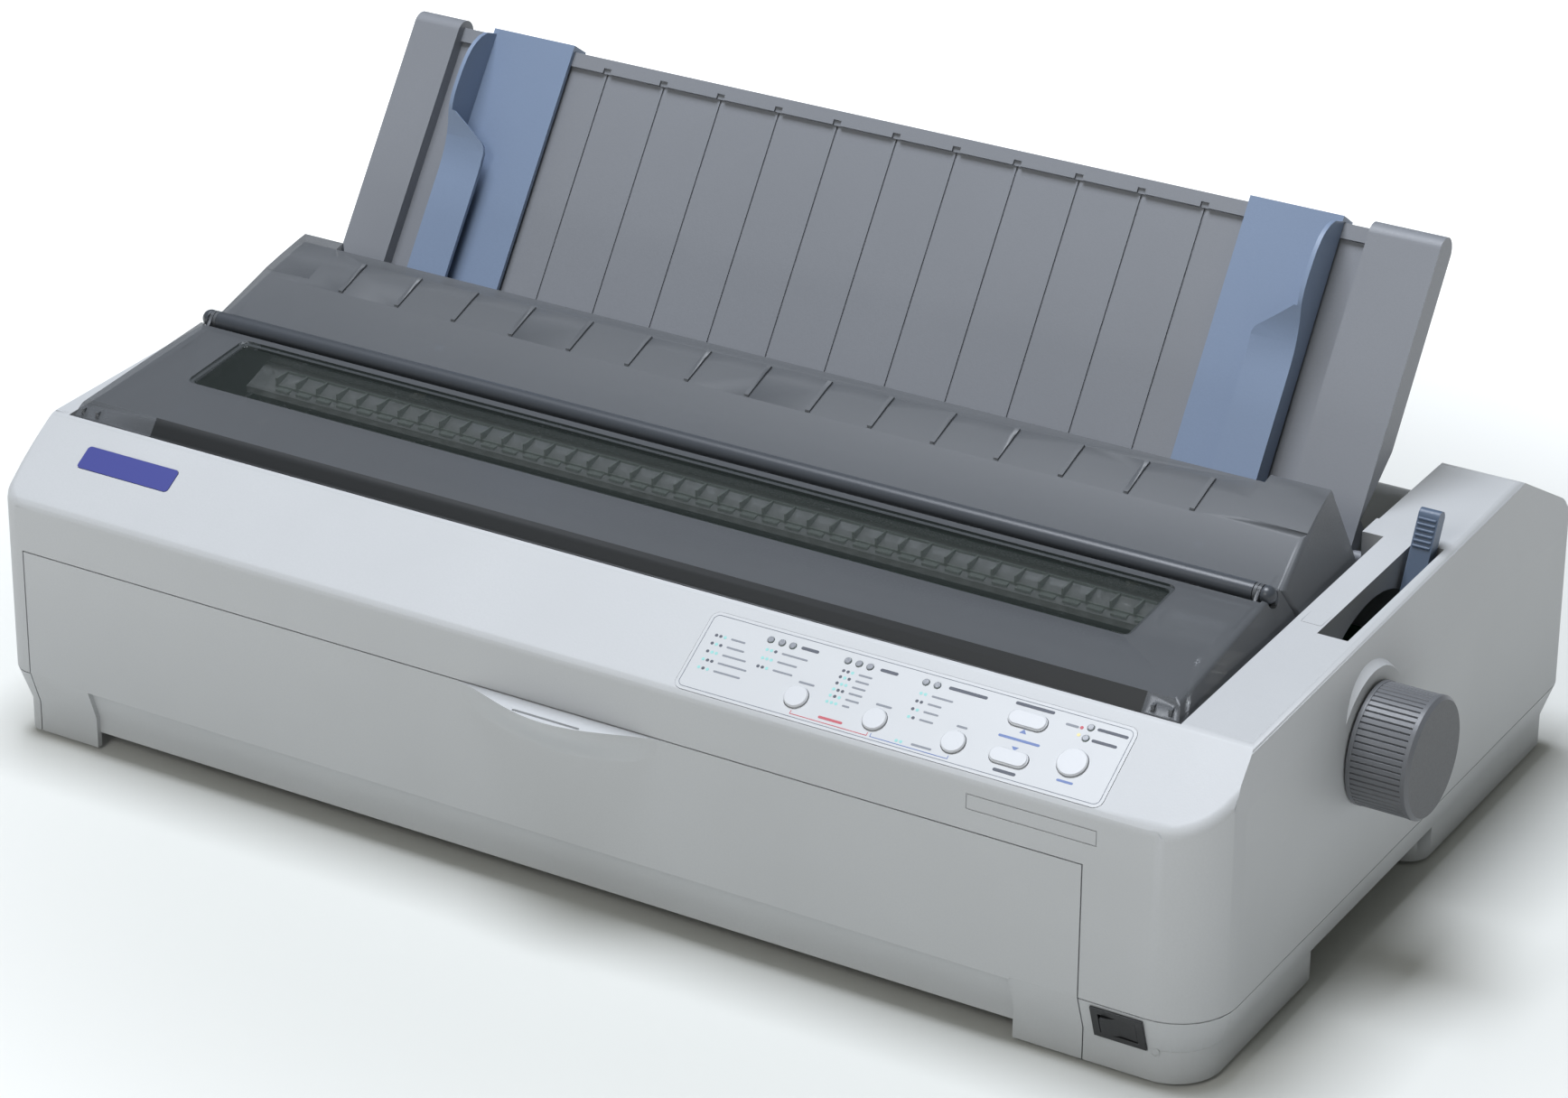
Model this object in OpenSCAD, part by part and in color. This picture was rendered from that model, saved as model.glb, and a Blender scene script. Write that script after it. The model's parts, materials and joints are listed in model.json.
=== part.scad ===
// Wide-carriage dot matrix printer with a hinged smoked cover, a leaning paper guide,
// rear push tractors, a belt-driven print carriage and a geared platen.
// Every piece is drawn in case coordinates: x from the case's left side, y from the
// fascia towards the back, z from the table. centred() moves them to the part's origin.

/* [Case] */
// Width of the case without the platen knob
case_w = 610; // [600:1:640]
// Depth of the case from the fascia to the rear wall
case_d = 364; // [356:1:390]
// Wall thickness of the moulded case
wall = 3; // [2.5:0.1:3.5]
// Height of the edge between the fascia and the sloping panel
fascia_h = 120.5; // [116:0.5:124]
// Height of the case top at the front of the cover opening
top_front = 146; // [144:0.5:150]
// Height of the right shoulder at its back edge
top_rear = 150; // [149:0.5:153]
// Depth of the sloping control panel seen from above
slope_run = 42.5; // [40:0.5:46]
// Height of the seam between the upper and lower case
seam_z = 34.4; // [32:0.2:36]
// Height where the skirt under the seam turns vertical
skirt_z = 17; // [15:0.5:20]
// Set-back of the skirt from the case sides
skirt_in = 6; // [4:0.5:8]
// Height of the deck behind the paper guide
deck_z = 133; // [131:0.5:135]
// Radius of the tall front right corner
corner_r = 28; // [20:1:32]
// Radius of the other three tall corners
corner_small = 11; // [8:0.5:14]
// Height of the rubber feet
foot_h = 4; // [3:0.5:5]

/* [Covers] */
// Thickness of the smoked cover mouldings
cover_t = 2.5; // [2:0.1:3]
// Inward lean of the cover cheeks, in mm per mm of height
lean = 0.35; // [0.25:0.01:0.4]
// Clearance between the covers and the case opening
cover_gap = 0.8; // [0.5:0.1:1.2]
// Radius of the paper roller at the joint of lid and hood
roller_r = 4.4; // [4:0.1:4.8]
// Distance between the ribs on the hood
hood_rib_pitch = 31.7; // [28:0.1:33]
// Height of the front cover's top edge
door_top = 95.8; // [92:0.2:100]
// Forward reach of the finger lip on the front cover
lip_out = 13; // [8:0.5:15]

/* [Paper guide] */
// Lean of the paper guide from the vertical, in degrees
guide_lean = 34.7; // [30:0.1:38]
// Length of the guide from its pivot to its top bar
guide_len = 143; // [136:0.5:146]
// Angle by which the guide can be laid back from its stand, in degrees
guide_back = 35; // [20:1:35]
// Thickness of the guide's side rails
rail_t = 14.5; // [12:0.5:16]
// Distance between the seams of the guide panel
seam_pitch = 31.8; // [28:0.1:34]
// Width of each sliding edge guide
edge_w = 46; // [40:1:50]
// Standing height of the edge guide's fin
fin_h = 19.5; // [14:0.5:21]

/* [Platen and feed] */
// Radius of the platen rubber
platen_r = 16.5; // [15.5:0.1:17]
// Radius of the platen shaft
platen_shaft_r = 5; // [4:0.1:6]
// Radius of the platen knob
knob_r = 27; // [24:0.5:29]
// Length of the knob along its axis
knob_len = 28; // [24:0.5:30]
// Count of grip ribs round the knob
knob_ribs = 60; // [48:1:72]
// Gear module of the paper feed train
gear_m = 1.5; // [1.4:0.05:1.55]
// Radius of the print carriage's guide shaft
guide_shaft_r = 6; // [5:0.1:7]
// Running clearance of shafts in their bores
run_gap = 0.05; // [0.02:0.01:0.08]
// Gap left between pieces that only lie close together
seat = 0.3; // [0.25:0.05:0.4]
// Travel of the buttons
button_travel = 1.2; // [0.8:0.1:1.5]

/* [Hidden] */
$fn = 64;
e = 0.01;

case_grey = [0.78, 0.80, 0.82];
smoke = [0.33, 0.34, 0.36];
guide_grey = [0.50, 0.51, 0.53];
guide_blue = [0.45, 0.53, 0.68];
lever_blue = [0.36, 0.42, 0.52];
steel = [0.72, 0.73, 0.75];
dark = [0.16, 0.16, 0.17];
off_white = [0.90, 0.91, 0.92];
board_green = [0.16, 0.36, 0.24];
clear = [0.75, 0.77, 0.78];

// Sloping control panel: s runs up the slope from the fascia edge
slope_a = atan((top_front - fascia_h) / slope_run);
// Cover opening in the case top, with a step on the right in front of the paper guide
open_x0 = 8.6;
open_x1 = case_w - 38;
open_y0 = slope_run + 0.5;
open_y1 = 256;
step_y = 236;
step_x = open_x1 - 10;
collar_t = 2.5;
collar_z = 126;
strip_rise = 3;
deck_edge = 252;
shoulder_back = 316;
shoulder_x = case_w - 60;
rear_run = 7;
rear_drop = 24;
rear_low = 33;
// Front cover opening in the fascia
door_x0 = 13.2;
door_x1 = case_w - 58.8;
door_gap = 0.6;
door_t = 3;
door_pin_y = 12;
door_pin_z = 11.2;
door_pin_r = 2.5;
leg_w = 32;
skirt_foot = 2;
cheek_w = 2.4;
lip_x = case_w / 2 - 4;
lip_half = 54;
lip_deep = 23;
// Lever slot in the right strip
slot_x0 = open_x1 + 13.5;
slot_x1 = slot_x0 + 14;
slot_y0 = 141;
slot_y1 = 238;
slot_wall = 1.8;
slot_arc_r = 65;
// The lid and the hood share the roller's axis as their hinge
roller_y = 139;
roller_z = 160;
neck_r = 2.4;
ball_r = 4.2;
ear_t = 1.5;
ear_r = 4.2;
ball_x = 17.8;
ball_end = ball_x + 1.4;
ear_lid_x = ball_end + seat;
ear_hood_x = ear_lid_x + ear_t + seat;
roller_x = ear_hood_x + ear_t + seat;
cover_x0 = open_x0 + cover_gap;
cover_x1 = open_x1 - cover_gap;
cover_z = 143;
lid_y0 = open_y0 + 1.2;
lid_back = 132.5;
window_x = [46, open_x1 - 47];
window_y = [86, 127];
// Hood: main ridge between the two end wings, ribs over the front ridge
ridge_y = 203;
ridge_z = 177.7;
wing_x = [44, open_x1 - 42];
wing_y = 213.8;
wing_ridge = [208.6, 178.9];
hood_pin_y = 206;
hood_pin_z = 137;
hood_pin_r = 3;
hood_rib_x = 63.8;
hood_ribs = 1 + floor((wing_x[1] - 20 - hood_rib_x) / hood_rib_pitch);
ledge_w = 3.2;
// Paper guide: u runs up the guide from its pivot, h stands off its front face
guide_x0 = 13.5;
guide_x1 = open_x1 - 15.4;
guide_in0 = 39;
guide_in1 = guide_x1 - 34.6;
pivot_y = 238.9;
pivot_z = 134.1;
pivot_h = 4;
pivot_r = 3;
panel_h = -7;
panel_t = 3;
bar_w = 7;
bar_t = 7;
bar_h = -5;
seam_x = 123;
seams = 1 + floor((guide_in1 - 80 - seam_x) / seam_pitch);
// Edge guides
edge_x = [57, guide_in1 - 60];
base_h = -2.5;
base_t = 2.2;
lip_w = 22;
plate_t = 2;
// Control panel layout: x, s up the slope
panel_x = case_w - 52.7;
button_xs = [for (d = [145.9, 108.6, 71.8]) panel_x - d];
button_s = 13.5;
bar_x = panel_x - 46.3;
load_s = 32.2;
feed_s = 13.6;
pause_at = [panel_x - 19.9, 19.3];
button_r = 5.3;
pause_r = 6.6;
bar_len = 17.5;
bar_wd = 7.6;
button_up = 1.5;
hole_gap = 0.25;
flange = 1.4;
board_h = -10.5;
lamp_r = 1.6;
lamps = [for (p = [[169.7, 36.1], [164.3, 36.1], [159.1, 36.1], [132.7, 36.4], [127.4, 36.4],
    [122.2, 36.4], [95.8, 36.6], [90.5, 36.6], [19.8, 37], [19.8, 31.7]]) [panel_x - p[0], p[1]]];
overlay_x = [panel_x - 200.5, panel_x];
overlay_s = [2.6, 42.4];
overlay_t = 0.6;
badge_x = [28.7, 79.6];
badge_s = [24.9, 37.3];
badge_t = 0.8;
// Bare outlined field on the fascia
field_x = [panel_x - 59.3, panel_x + 0.5];
field_z = [106, 113.4];
field_line = 0.6;
// Power switch on the slanting band of the skirt
switch_x = case_w - 41;
switch_s = 7.6;
switch_w = 22;
switch_d = 15;
rock_a = 8;
skirt_a = atan(skirt_in / (seam_z - skirt_z));
// Right side: above a crease it leans inwards, with a flat pad round the knob
crease_z = 125.6;
side_lean = 12.5;
side_yaw = 0.7;
side_edge_r = 3;
pad_r = 33;
pad_foot_r = 39;
pad_h = 9;
// Platen axis and frames
platen_y = 146.5;
platen_z = 100.8;
floor_z = 20;
pan_t = 2;
pan_z = floor_z + pan_t;
frame_x0 = 40;
frame_x1 = case_w - 74;
frame_t = 2;
frame_back = 230;
frame_top = 128;
knob_end = case_w + 29;
knob_x = knob_end - knob_len;
// Feed train: teeth and directions from the platen axis
platen_teeth = 28;
idler_teeth = 20;
pinion_teeth = 12;
tractor_teeth = 20;
train_dir = -60;
tractor_dir = 20;
gear_x = frame_x1 + frame_t + 2;
gear_w = 6;
stud_r = 3;
motor_shaft_r = 2.5;
motor_r = 21;
idler_d = gear_m * (platen_teeth + idler_teeth) / 2;
pinion_d = gear_m * (idler_teeth + pinion_teeth) / 2;
tractor_d = gear_m * (platen_teeth + tractor_teeth) / 2;
idler_yz = [platen_y, platen_z] + idler_d * [cos(train_dir), sin(train_dir)];
pinion_yz = idler_yz + pinion_d * [cos(train_dir), sin(train_dir)];
tractor_yz = [platen_y, platen_z] + tractor_d * [cos(tractor_dir), sin(tractor_dir)];
// Push tractors on a square drive shaft and a round guide rod
rod_yz = tractor_yz + [36, 0];
rod_r = 4;
drive_af = 8;
journal_r = 4;
pins = 6;
pin_pitch = 12.7;
wheel_r = pins * pin_pitch / (2 * PI);
pin_h = 2.4;
wheel_w = 10;
tractor_w = 22;
tractor_x = [96, frame_x1 - 66];
tractor_top = tractor_yz[1] + wheel_r - 0.4;
door_axis = [2.4, tractor_top + 4.2];
door_y = [169, 198.5];
door_slab = 2.2;
lock_t = 4;
// Release lever
lever_yz = [195, 74.4];
lever_lean = 26.2;
lever_w = 9.6;
lever_x = (slot_x0 + slot_x1 - lever_w) / 2;
lever_d = 7;
lever_len = 101.6;
lever_stud = 4;
// Carriage and its drive
shaft_y = 96;
shaft_z = 72;
carriage_x = frame_x1 - 111;
carriage_w = 64;
head_z = 88;
nose_y = 128.6;
belt_y = 70;
belt_z = 55.5;
belt_h = 6;
belt_t = 1.2;
pulley_r = 7;
pulley_x = [66, frame_x1 - 22];
rail_y = 47;
rail_z = 94;
// Ribbon cartridge
ribbon_x = [frame_x0 + 4.5, frame_x1 - 2.5];
ribbon_y = [52, 86];
ribbon_z = [104, 121];
ribbon_knob_at = [92, 68];
// Paper tension unit over the platen
tension_y = [137, 160];
tension_yz = [151, 121];
tension_r = 3;
tension_pitch = 15;
// Boards and connectors: x, width, height, base height
board_z = 34;
board_t = 1.6;
chip_y = [262, 286];
socket_y = [306, 314];
capacitor_y = 276;
board_x = [200, case_w - 40];
board_y = [236, case_d - 6];
supply_x = [44, 180];
supply_y = [236, case_d - 14.3];
sockets = [[70, 28, 22, 41], [board_x[1] - 100, 56, 15, board_z + board_t],
    [board_x[1] - 30, 14, 13, board_z + board_t]];
// Feet and screws
screw_xy = [[17, 60], [case_w - 17, 60], [17, case_d - 34], [case_w - 17, case_d - 34]];
foot_xy = [[44, 66], [case_w - 44, 66], [44, case_d - 60], [case_w - 44, case_d - 60]];
foot_r = 9;
notch_y = [111, 222];
notch_r = 12;

// ---- helpers ----

// Moves case coordinates to the part's origin, under the middle of its box
module centred() {
    translate([-knob_end / 2, -(case_d - lip_out) / 2, 0]) children();
}

// A profile drawn as (y, z) and extruded from x0 to x1
module along_x(x0, x1) {
    translate([x0, 0, 0]) rotate([90, 0, 90]) linear_extrude(x1 - x0) children();
}

// A profile drawn as (x, z) and extruded from y0 to y1
module along_y(y0, y1) {
    translate([0, y1, 0]) rotate([90, 0, 0]) linear_extrude(y1 - y0) children();
}

module rod_x(x0, x1, yz, r) {
    translate([x0, yz[0], yz[1]]) rotate([0, 90, 0]) cylinder(h = x1 - x0, r = r);
}

module block(lo, hi) {
    translate(lo) cube(hi - lo);
}

// The children and their mirror image about the middle of the cover opening
module both_ends() {
    children();
    translate([open_x0 + open_x1, 0, 0]) mirror([1, 0, 0]) children();
}

// The children and their mirror image about the middle of the case
module both_sides() {
    children();
    translate([case_w, 0, 0]) mirror([1, 0, 0]) children();
}

// A convex outline with a true arc at each corner; r lists the radii
module rounded(p, r) {
    n = len(p);
    corner = [for (i = [0 : n - 1]) let (
        q = p[i],
        a = p[(i + n - 1) % n] - q,
        b = p[(i + 1) % n] - q,
        u = a / norm(a),
        v = b / norm(b),
        half = acos(u * v) / 2,
        w = (u + v) / norm(u + v)
    ) [q + u * r[i] / tan(half), q + v * r[i] / tan(half), q + w * r[i] / sin(half)]];
    polygon([for (i = [0 : n - 1]) each (r[i] > 0 ? [corner[i][0], corner[i][1]] : [p[i]])]);
    for (i = [0 : n - 1]) if (r[i] > 0) translate(corner[i][2]) circle(r = r[i]);
}

module rounded_plate(x, y, r, h) {
    linear_extrude(h) rounded([[x[0], y[0]], [x[1], y[0]], [x[1], y[1]], [x[0], y[1]]], [r, r, r, r]);
}

module pill(l, w, h) {
    linear_extrude(h) {
        square([l - w, w], center = true);
        for (s = [-1, 1]) translate([s * (l - w) / 2, 0]) circle(d = w);
    }
}

// Plan outline of the case, drawn in by a margin
module plan(m) {
    back = max(corner_small - m, 1);
    rounded([[m, m], [case_w - m, m], [case_w - m, case_d - m], [m, case_d - m]],
        [back, max(corner_r - m, 1), back, back]);
}

// Moves to the sloping panel: x, distance s up the slope, height off the surface
module on_slope(x, s, h = 0) {
    translate([x, 0, fascia_h]) rotate([slope_a, 0, 0]) translate([0, s, h]) children();
}

// Moves to the slanting band of the skirt: x, distance s up from its lower edge
module on_skirt(x, s) {
    translate([x, skirt_in, skirt_z]) rotate([90 + skirt_a, 0, 0]) translate([0, s, 0]) children();
}

// Moves to the paper guide at rest: z runs up it, y runs back from its front face
module on_guide() {
    translate([0, pivot_y, pivot_z]) rotate([-guide_lean, 0, 0])
        translate([0, -pivot_h, 0]) children();
}

function turn(v, a) = [v[0] * cos(a) - v[1] * sin(a), v[0] * sin(a) + v[1] * cos(a)];

// Involute gear outline: n teeth, the first at angle 0, slightly thinned for backlash
pressure_a = 25;
tooth_fill = 0.9;
addendum = 0.85;
dedendum = 1.15;
function roll(rb, r) = sqrt(max(pow(r / rb, 2) - 1, 0)) * 180 / PI;
function involute(rb, t) = rb * [cos(t) + t * PI / 180 * sin(t), sin(t) - t * PI / 180 * cos(t)];
function gear_points(n) = let (
    rp = gear_m * n / 2,
    rb = rp * cos(pressure_a),
    root = [rp - gear_m * dedendum, 0],
    half = 90 / n * tooth_fill + tan(pressure_a) * 180 / PI - pressure_a,
    t1 = roll(rb, rp + gear_m * addendum),
    flank = [for (k = [0 : 2]) turn(involute(rb, t1 * k / 2), -half)],
    side = concat([turn(root, -half)], flank),
    last = len(side) - 1
) [for (i = [0 : n - 1]) each concat(
    [for (q = side) turn(q, 360 * i / n)],
    [for (k = [last : -1 : 0]) turn([side[k][0], -side[k][1]], 360 * i / n)])];

module gear(n, yz, a) {
    translate([gear_x, yz[0], yz[1]]) rotate([a, 0, 0]) along_x(0, gear_w) polygon(gear_points(n));
}

// Turn of a driven gear that meshes with one turned by a, seen in direction dir
function mesh_turn(dir, na, a, nb) = dir + 180 - (180 - na * (dir - a)) / nb;
platen_turn = train_dir;
idler_turn = mesh_turn(train_dir, platen_teeth, platen_turn, idler_teeth);
pinion_turn = mesh_turn(train_dir, idler_teeth, idler_turn, pinion_teeth);
tractor_turn = mesh_turn(tractor_dir, platen_teeth, platen_turn, tractor_teeth);

// ---- case ----

module skirt_solid(m) {
    linear_extrude(skirt_z) plan(skirt_in + m);
    hull() {
        translate([0, 0, skirt_z - e]) linear_extrude(e) plan(skirt_in + m, $fn = 32);
        translate([0, 0, seam_z - e]) linear_extrude(e) plan(m, $fn = 32);
    }
}

module lower_case() color(case_grey) centred() difference() {
    union() {
        difference() {
            skirt_solid(0);
            // room above the floor panel and under it
            translate([0, 0, floor_z]) linear_extrude(seam_z) plan(skirt_in + wall);
            translate([0, 0, seam_z - 6]) linear_extrude(7) plan(wall + 1.2);
            translate([0, 0, -e]) linear_extrude(floor_z - wall) plan(skirt_in + wall);
            // room for the front cover and the paper path behind it
            block([door_x0 - door_gap, -1, -1], [door_x1 + door_gap, 22, seam_z + 1]);
        }
        // front wall of the floor pan and the cheeks that carry the cover's pins
        block([door_x0 - door_gap - cheek_w, 19, skirt_foot + 4],
            [door_x1 + door_gap + cheek_w, 22, floor_z]);
        for (x = [door_x0 - door_gap - cheek_w, door_x1 + door_gap])
            block([x, skirt_in + 1, skirt_foot + 1], [x + cheek_w, 22, seam_z - 7]);
        // ribs along the front wall
        for (x = [door_x0 + 40 : 31 : door_x1 - 40])
            block([x, 17, skirt_foot + 6], [x + 2, 19 + e, floor_z]);
        // the skirt turns in behind each hand hold
        both_sides() linear_extrude(floor_z - 1) intersection() {
            translate([skirt_in + notch_r, notch_y[1] + notch_r]) difference() {
                circle(r = notch_r);
                circle(r = notch_r - wall);
            }
            translate([skirt_in - 1, notch_y[1] - 1]) square(notch_r + 1);
        }
        // bosses for the feet and the screws
        for (p = foot_xy) translate([p[0], p[1], foot_h])
            cylinder(h = floor_z - wall + 1 - foot_h, r = foot_r + 2);
        for (p = screw_xy) translate([p[0], p[1], 8]) cylinder(h = 10, r = 5.5);
    }
    translate([-1, -1, -1]) cube([case_w + 2, case_d + 2, 1 + skirt_foot]);
    // raised notch in each side skirt
    both_sides() translate([0, 0, -1]) linear_extrude(skirt_z) difference() {
        translate([-1, notch_y[0]]) square([21, notch_y[1] + notch_r - notch_y[0]]);
        translate([skirt_in + notch_r, notch_y[1] + notch_r]) circle(r = notch_r);
        translate([skirt_in + notch_r, notch_y[1]]) square(30);
    }
    // seam groove
    translate([0, 0, seam_z - 0.8]) linear_extrude(2) difference() {
        translate([-1, -1]) square([case_w + 2, case_d + 2]);
        plan(0.8);
    }
    for (x = [door_x0 - door_gap - cheek_w - 1, door_x1 + door_gap - 1])
        rod_x(x, x + cheek_w + 2, [door_pin_y, door_pin_z], door_pin_r + run_gap);
    for (p = screw_xy) translate([p[0], p[1], 0]) {
        cylinder(h = 12, r = 3.6);
        cylinder(h = 30, r = 1.8);
    }
    // switch opening in the front skirt and the seat of its bezel
    on_skirt(switch_x, switch_s) {
        translate([-switch_w / 2, -switch_d / 2, -14]) cube([switch_w, switch_d, 20]);
        translate([-switch_w / 2 - 1.3, -switch_d / 2 - 1.3, 0]) cube([switch_w + 2.6, switch_d + 2.6, 6]);
    }
}

// The top rises by this angle towards the back, and ends this far above the side crease
top_a = atan(strip_rise / (deck_edge - slope_run));
side_rise = top_front - slope_run * tan(top_a) + 0.05 - crease_z;

// Outer body of the upper case; drop lowers the tops to make the inner surface
module case_body(m, drop) {
    intersection() {
        translate([0, 0, seam_z - drop]) linear_extrude(top_rear) plan(m);
        translate([0, 0, -drop]) union() {
            along_x(0, case_w) rounded([[0, seam_z], [0, fascia_h], [slope_run, top_front],
                [deck_edge, top_front + strip_rise], [open_y1, deck_z], [open_y1, seam_z]],
                [0, 6, 8, 2, 0, 0]);
            along_x(0, case_w) rounded([[200, seam_z], [200, deck_z], [shoulder_back, deck_z],
                [case_d - rear_run, deck_z - rear_drop], [case_d, deck_z - rear_low], [case_d, seam_z]],
                [0, 0, 12, 8, 0, 0]);
            intersection() {
                along_x(0, case_w) rounded([[0, seam_z], [0, fascia_h], [slope_run, top_front],
                    [shoulder_back, top_rear], [case_d - rear_run, top_rear - rear_drop],
                    [case_d, top_rear - rear_low - 5], [case_d, seam_z]], [0, 6, 8, 12, 8, 0, 0]);
                along_y(-1, case_d + 1) shoulder_section(m);
            }
        }
        translate([0, 0, -drop]) along_y(-1, case_d + 1) rounded([[m, seam_z], [case_w, seam_z],
            [case_w, top_rear + 0.6], [m, top_rear + 0.6]], [0, 0, 0, 7]);
        translate([case_w - m, 0, crease_z - drop]) rotate([top_a, 0, side_yaw]) along_y(-20, case_d + 20)
            rounded([[-case_w - 40, -200], [200 * tan(side_lean), -200],
                [-side_rise * tan(side_lean), side_rise],
                [-case_w - 40, side_rise]], [0, 0, side_edge_r, 0]);
    }
}

module shoulder_section(m) {
    polygon([[shoulder_x + m, seam_z], [shoulder_x + m, deck_z], [shoulder_x + m + 14, top_rear],
        [case_w, top_rear + 1], [case_w, seam_z]]);
}

module cover_opening(grow) {
    polygon([[open_x0 - grow, open_y0 - grow], [open_x1 + grow, open_y0 - grow],
        [open_x1 + grow, step_y + grow], [step_x + grow, step_y + grow],
        [step_x + grow, open_y1], [open_x0 - grow, open_y1]]);
}

module lever_slot(grow) {
    translate([slot_x0 - grow, slot_y0 - grow])
        square([slot_x1 - slot_x0 + 2 * grow, slot_y1 - slot_y0 + 2 * grow]);
}

module overlay_shape(g, h) {
    rounded_plate([overlay_x[0] - g, overlay_x[1] + g], [overlay_s[0] - g, overlay_s[1] + g], 4 + g, h);
}

module button_holes(g, z0, h) {
    for (x = button_xs) on_slope(x, button_s, z0) cylinder(h = h, r = button_r + g);
    for (s = [load_s, feed_s]) on_slope(bar_x, s, z0) pill(bar_len + 2 * g, bar_wd + 2 * g, h);
    on_slope(pause_at[0], pause_at[1], z0) cylinder(h = h, r = pause_r + g);
    for (p = lamps) on_slope(p[0], p[1], z0) cylinder(h = h, r = lamp_r + 0.1);
}

module upper_case() color(case_grey) centred() {
    inner_top = top_front - wall - 1.5;
    difference() {
        union() {
            difference() {
                case_body(0, 0);
                case_body(wall, wall * 1.17);
            }
            // collars round the cover opening and the lever slot
            intersection() {
                translate([0, 0, collar_z]) linear_extrude(top_rear - collar_z) difference() {
                    union() {
                        cover_opening(collar_t);
                        lever_slot(slot_wall);
                    }
                    cover_opening(0);
                    lever_slot(0);
                }
                case_body(0, 0);
                // the slot's walls end in an arc round the lever's pivot
                difference() {
                    linear_extrude(top_rear + 1) square([case_w, case_d]);
                    rod_x(slot_x0 - slot_wall - 0.5, case_w, lever_yz, slot_arc_r);
                }
            }
            block([open_x0 - collar_t, open_y1, collar_z - 14],
                [step_x + collar_t, open_y1 + wall, deck_z - 1]);
            // pad round the knob, which carries the flat lower wall up past the crease
            translate([case_w - pad_h, platen_y, platen_z]) rotate([0, 90, 0])
                cylinder(h = pad_h, r1 = pad_foot_r, r2 = pad_r);
            // bosses for the hood's and the paper guide's pins
            for (x = [open_x0 - collar_t, open_x1])
                block([x, hood_pin_y - 7, hood_pin_z - 8], [x + collar_t, hood_pin_y + 7, inner_top]);
            for (x = [open_x0 - collar_t, step_x])
                block([x, pivot_y - 8, pivot_z - 8], [x + collar_t, pivot_y + 8, inner_top]);
            // posts that take the case screws, tied to the side walls
            for (p = screw_xy) translate([p[0], p[1], floor_z]) cylinder(h = 46, r = 5);
            for (p = screw_xy) let (left = p[0] < case_w / 2)
                block([left ? wall - e : p[0], p[1] - 1, seam_z + 8],
                    [left ? p[0] : case_w - wall + e, p[1] + 1, seam_z + 30]);
        }
        translate([0, 0, collar_z - 40]) linear_extrude(90) intersection() {
            cover_opening(0);
            square([case_w, open_y1 - e]);
        }
        translate([0, 0, collar_z - 2]) linear_extrude(40) lever_slot(0);
        block([door_x0 - door_gap, -1, seam_z - 5], [door_x1 + door_gap, wall + 1, door_top + door_gap]);
        // room behind the pad, and the shaft hole
        rod_x(case_w - pad_h - 1, case_w - wall, [platen_y, platen_z], pad_r - wall);
        rod_x(case_w - 20, case_w + 1, [platen_y, platen_z], platen_shaft_r + 2);
        // control panel recess, button and lamp holes, badge recess
        on_slope(0, 0, -overlay_t) overlay_shape(0.2, 3);
        button_holes(hole_gap, -8, 10);
        on_slope(0, 0, -badge_t) rounded_plate(badge_x, badge_s, 2, 3);
        // outlined bare field on the fascia
        difference() {
            block([field_x[0], -1, field_z[0]], [field_x[1], 0.4, field_z[1]]);
            block([field_x[0] + field_line, -2, field_z[0] + field_line],
                [field_x[1] - field_line, 1, field_z[1] - field_line]);
        }
        for (x = [open_x0 - collar_t - 1, open_x1 - 1])
            rod_x(x, x + collar_t + 2, [hood_pin_y, hood_pin_z], hood_pin_r + run_gap);
        for (x = [open_x0 - collar_t - 1, step_x - 1])
            rod_x(x, x + collar_t + 2, [pivot_y, pivot_z], pivot_r + run_gap);
        // openings for the sockets and cooling slots in the rear wall
        for (c = sockets) block([c[0] - c[1] / 2 - seat, case_d - wall - 1, c[3] - seat],
            [c[0] + c[1] / 2 + seat, case_d + 1, c[3] + c[2] + seat]);
        for (i = [0 : 11]) block([226 + 12 * i, case_d - wall - 1, 66], [231 + 12 * i, case_d + 1, 92]);
        for (p = screw_xy) translate([p[0], p[1], 0]) cylinder(h = 34, r = 1.5);
    }
    // ledges that the lid's front wall and the hood's cheeks rest on
    block([open_x0 + 30, open_y0 - 1, cover_z - 4], [open_x1 - 30, open_y0 + 4, cover_z - seat]);
    both_ends() block([open_x0 - 1, 170, cover_z - 4], [open_x0 + ledge_w, 186, cover_z - seat]);
}

module rear_connectors() color(dark) centred() for (c = sockets) difference() {
    block([c[0] - c[1] / 2, case_d - 14, c[3]], [c[0] + c[1] / 2, case_d - 0.5, c[3] + c[2]]);
    block([c[0] - c[1] / 2 + 2, case_d - 10, c[3] + 2],
        [c[0] + c[1] / 2 - 2, case_d, c[3] + c[2] - 2]);
}

module rubber_feet() color(dark) centred() for (p = foot_xy)
    translate([p[0], p[1], 0]) cylinder(h = foot_h, r = foot_r);

module case_screws() color(steel) centred() for (p = screw_xy) translate([p[0], p[1], 0]) {
    translate([0, 0, 9.4]) cylinder(h = 2.6, r = 3.2);
    translate([0, 0, 11]) cylinder(h = 22, r = 1.45);
}

// ---- front cover ----

// Lower edge of the front cover, which follows the slanting skirt
module cover_foot(back, foot) {
    polygon([[back, seam_z + 0.6], [back, seam_z], [back + skirt_in, skirt_z], [back + skirt_in, foot],
        [back + skirt_in + door_t, foot], [back + skirt_in + door_t, skirt_z + 0.6],
        [back + door_t, seam_z + 0.6]]);
}

// Finger lip: a crescent in plan that flares out of the cover's edge, t from -1 to 1
function lip_reach(t) = (lip_out + lip_root) * pow(cos(90 * t), 1.5) - lip_root;
// Depth to which its tips run out behind the cover's face
lip_root = 0.3;
lip_cols = 20;
lip_rows = 8;
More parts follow.
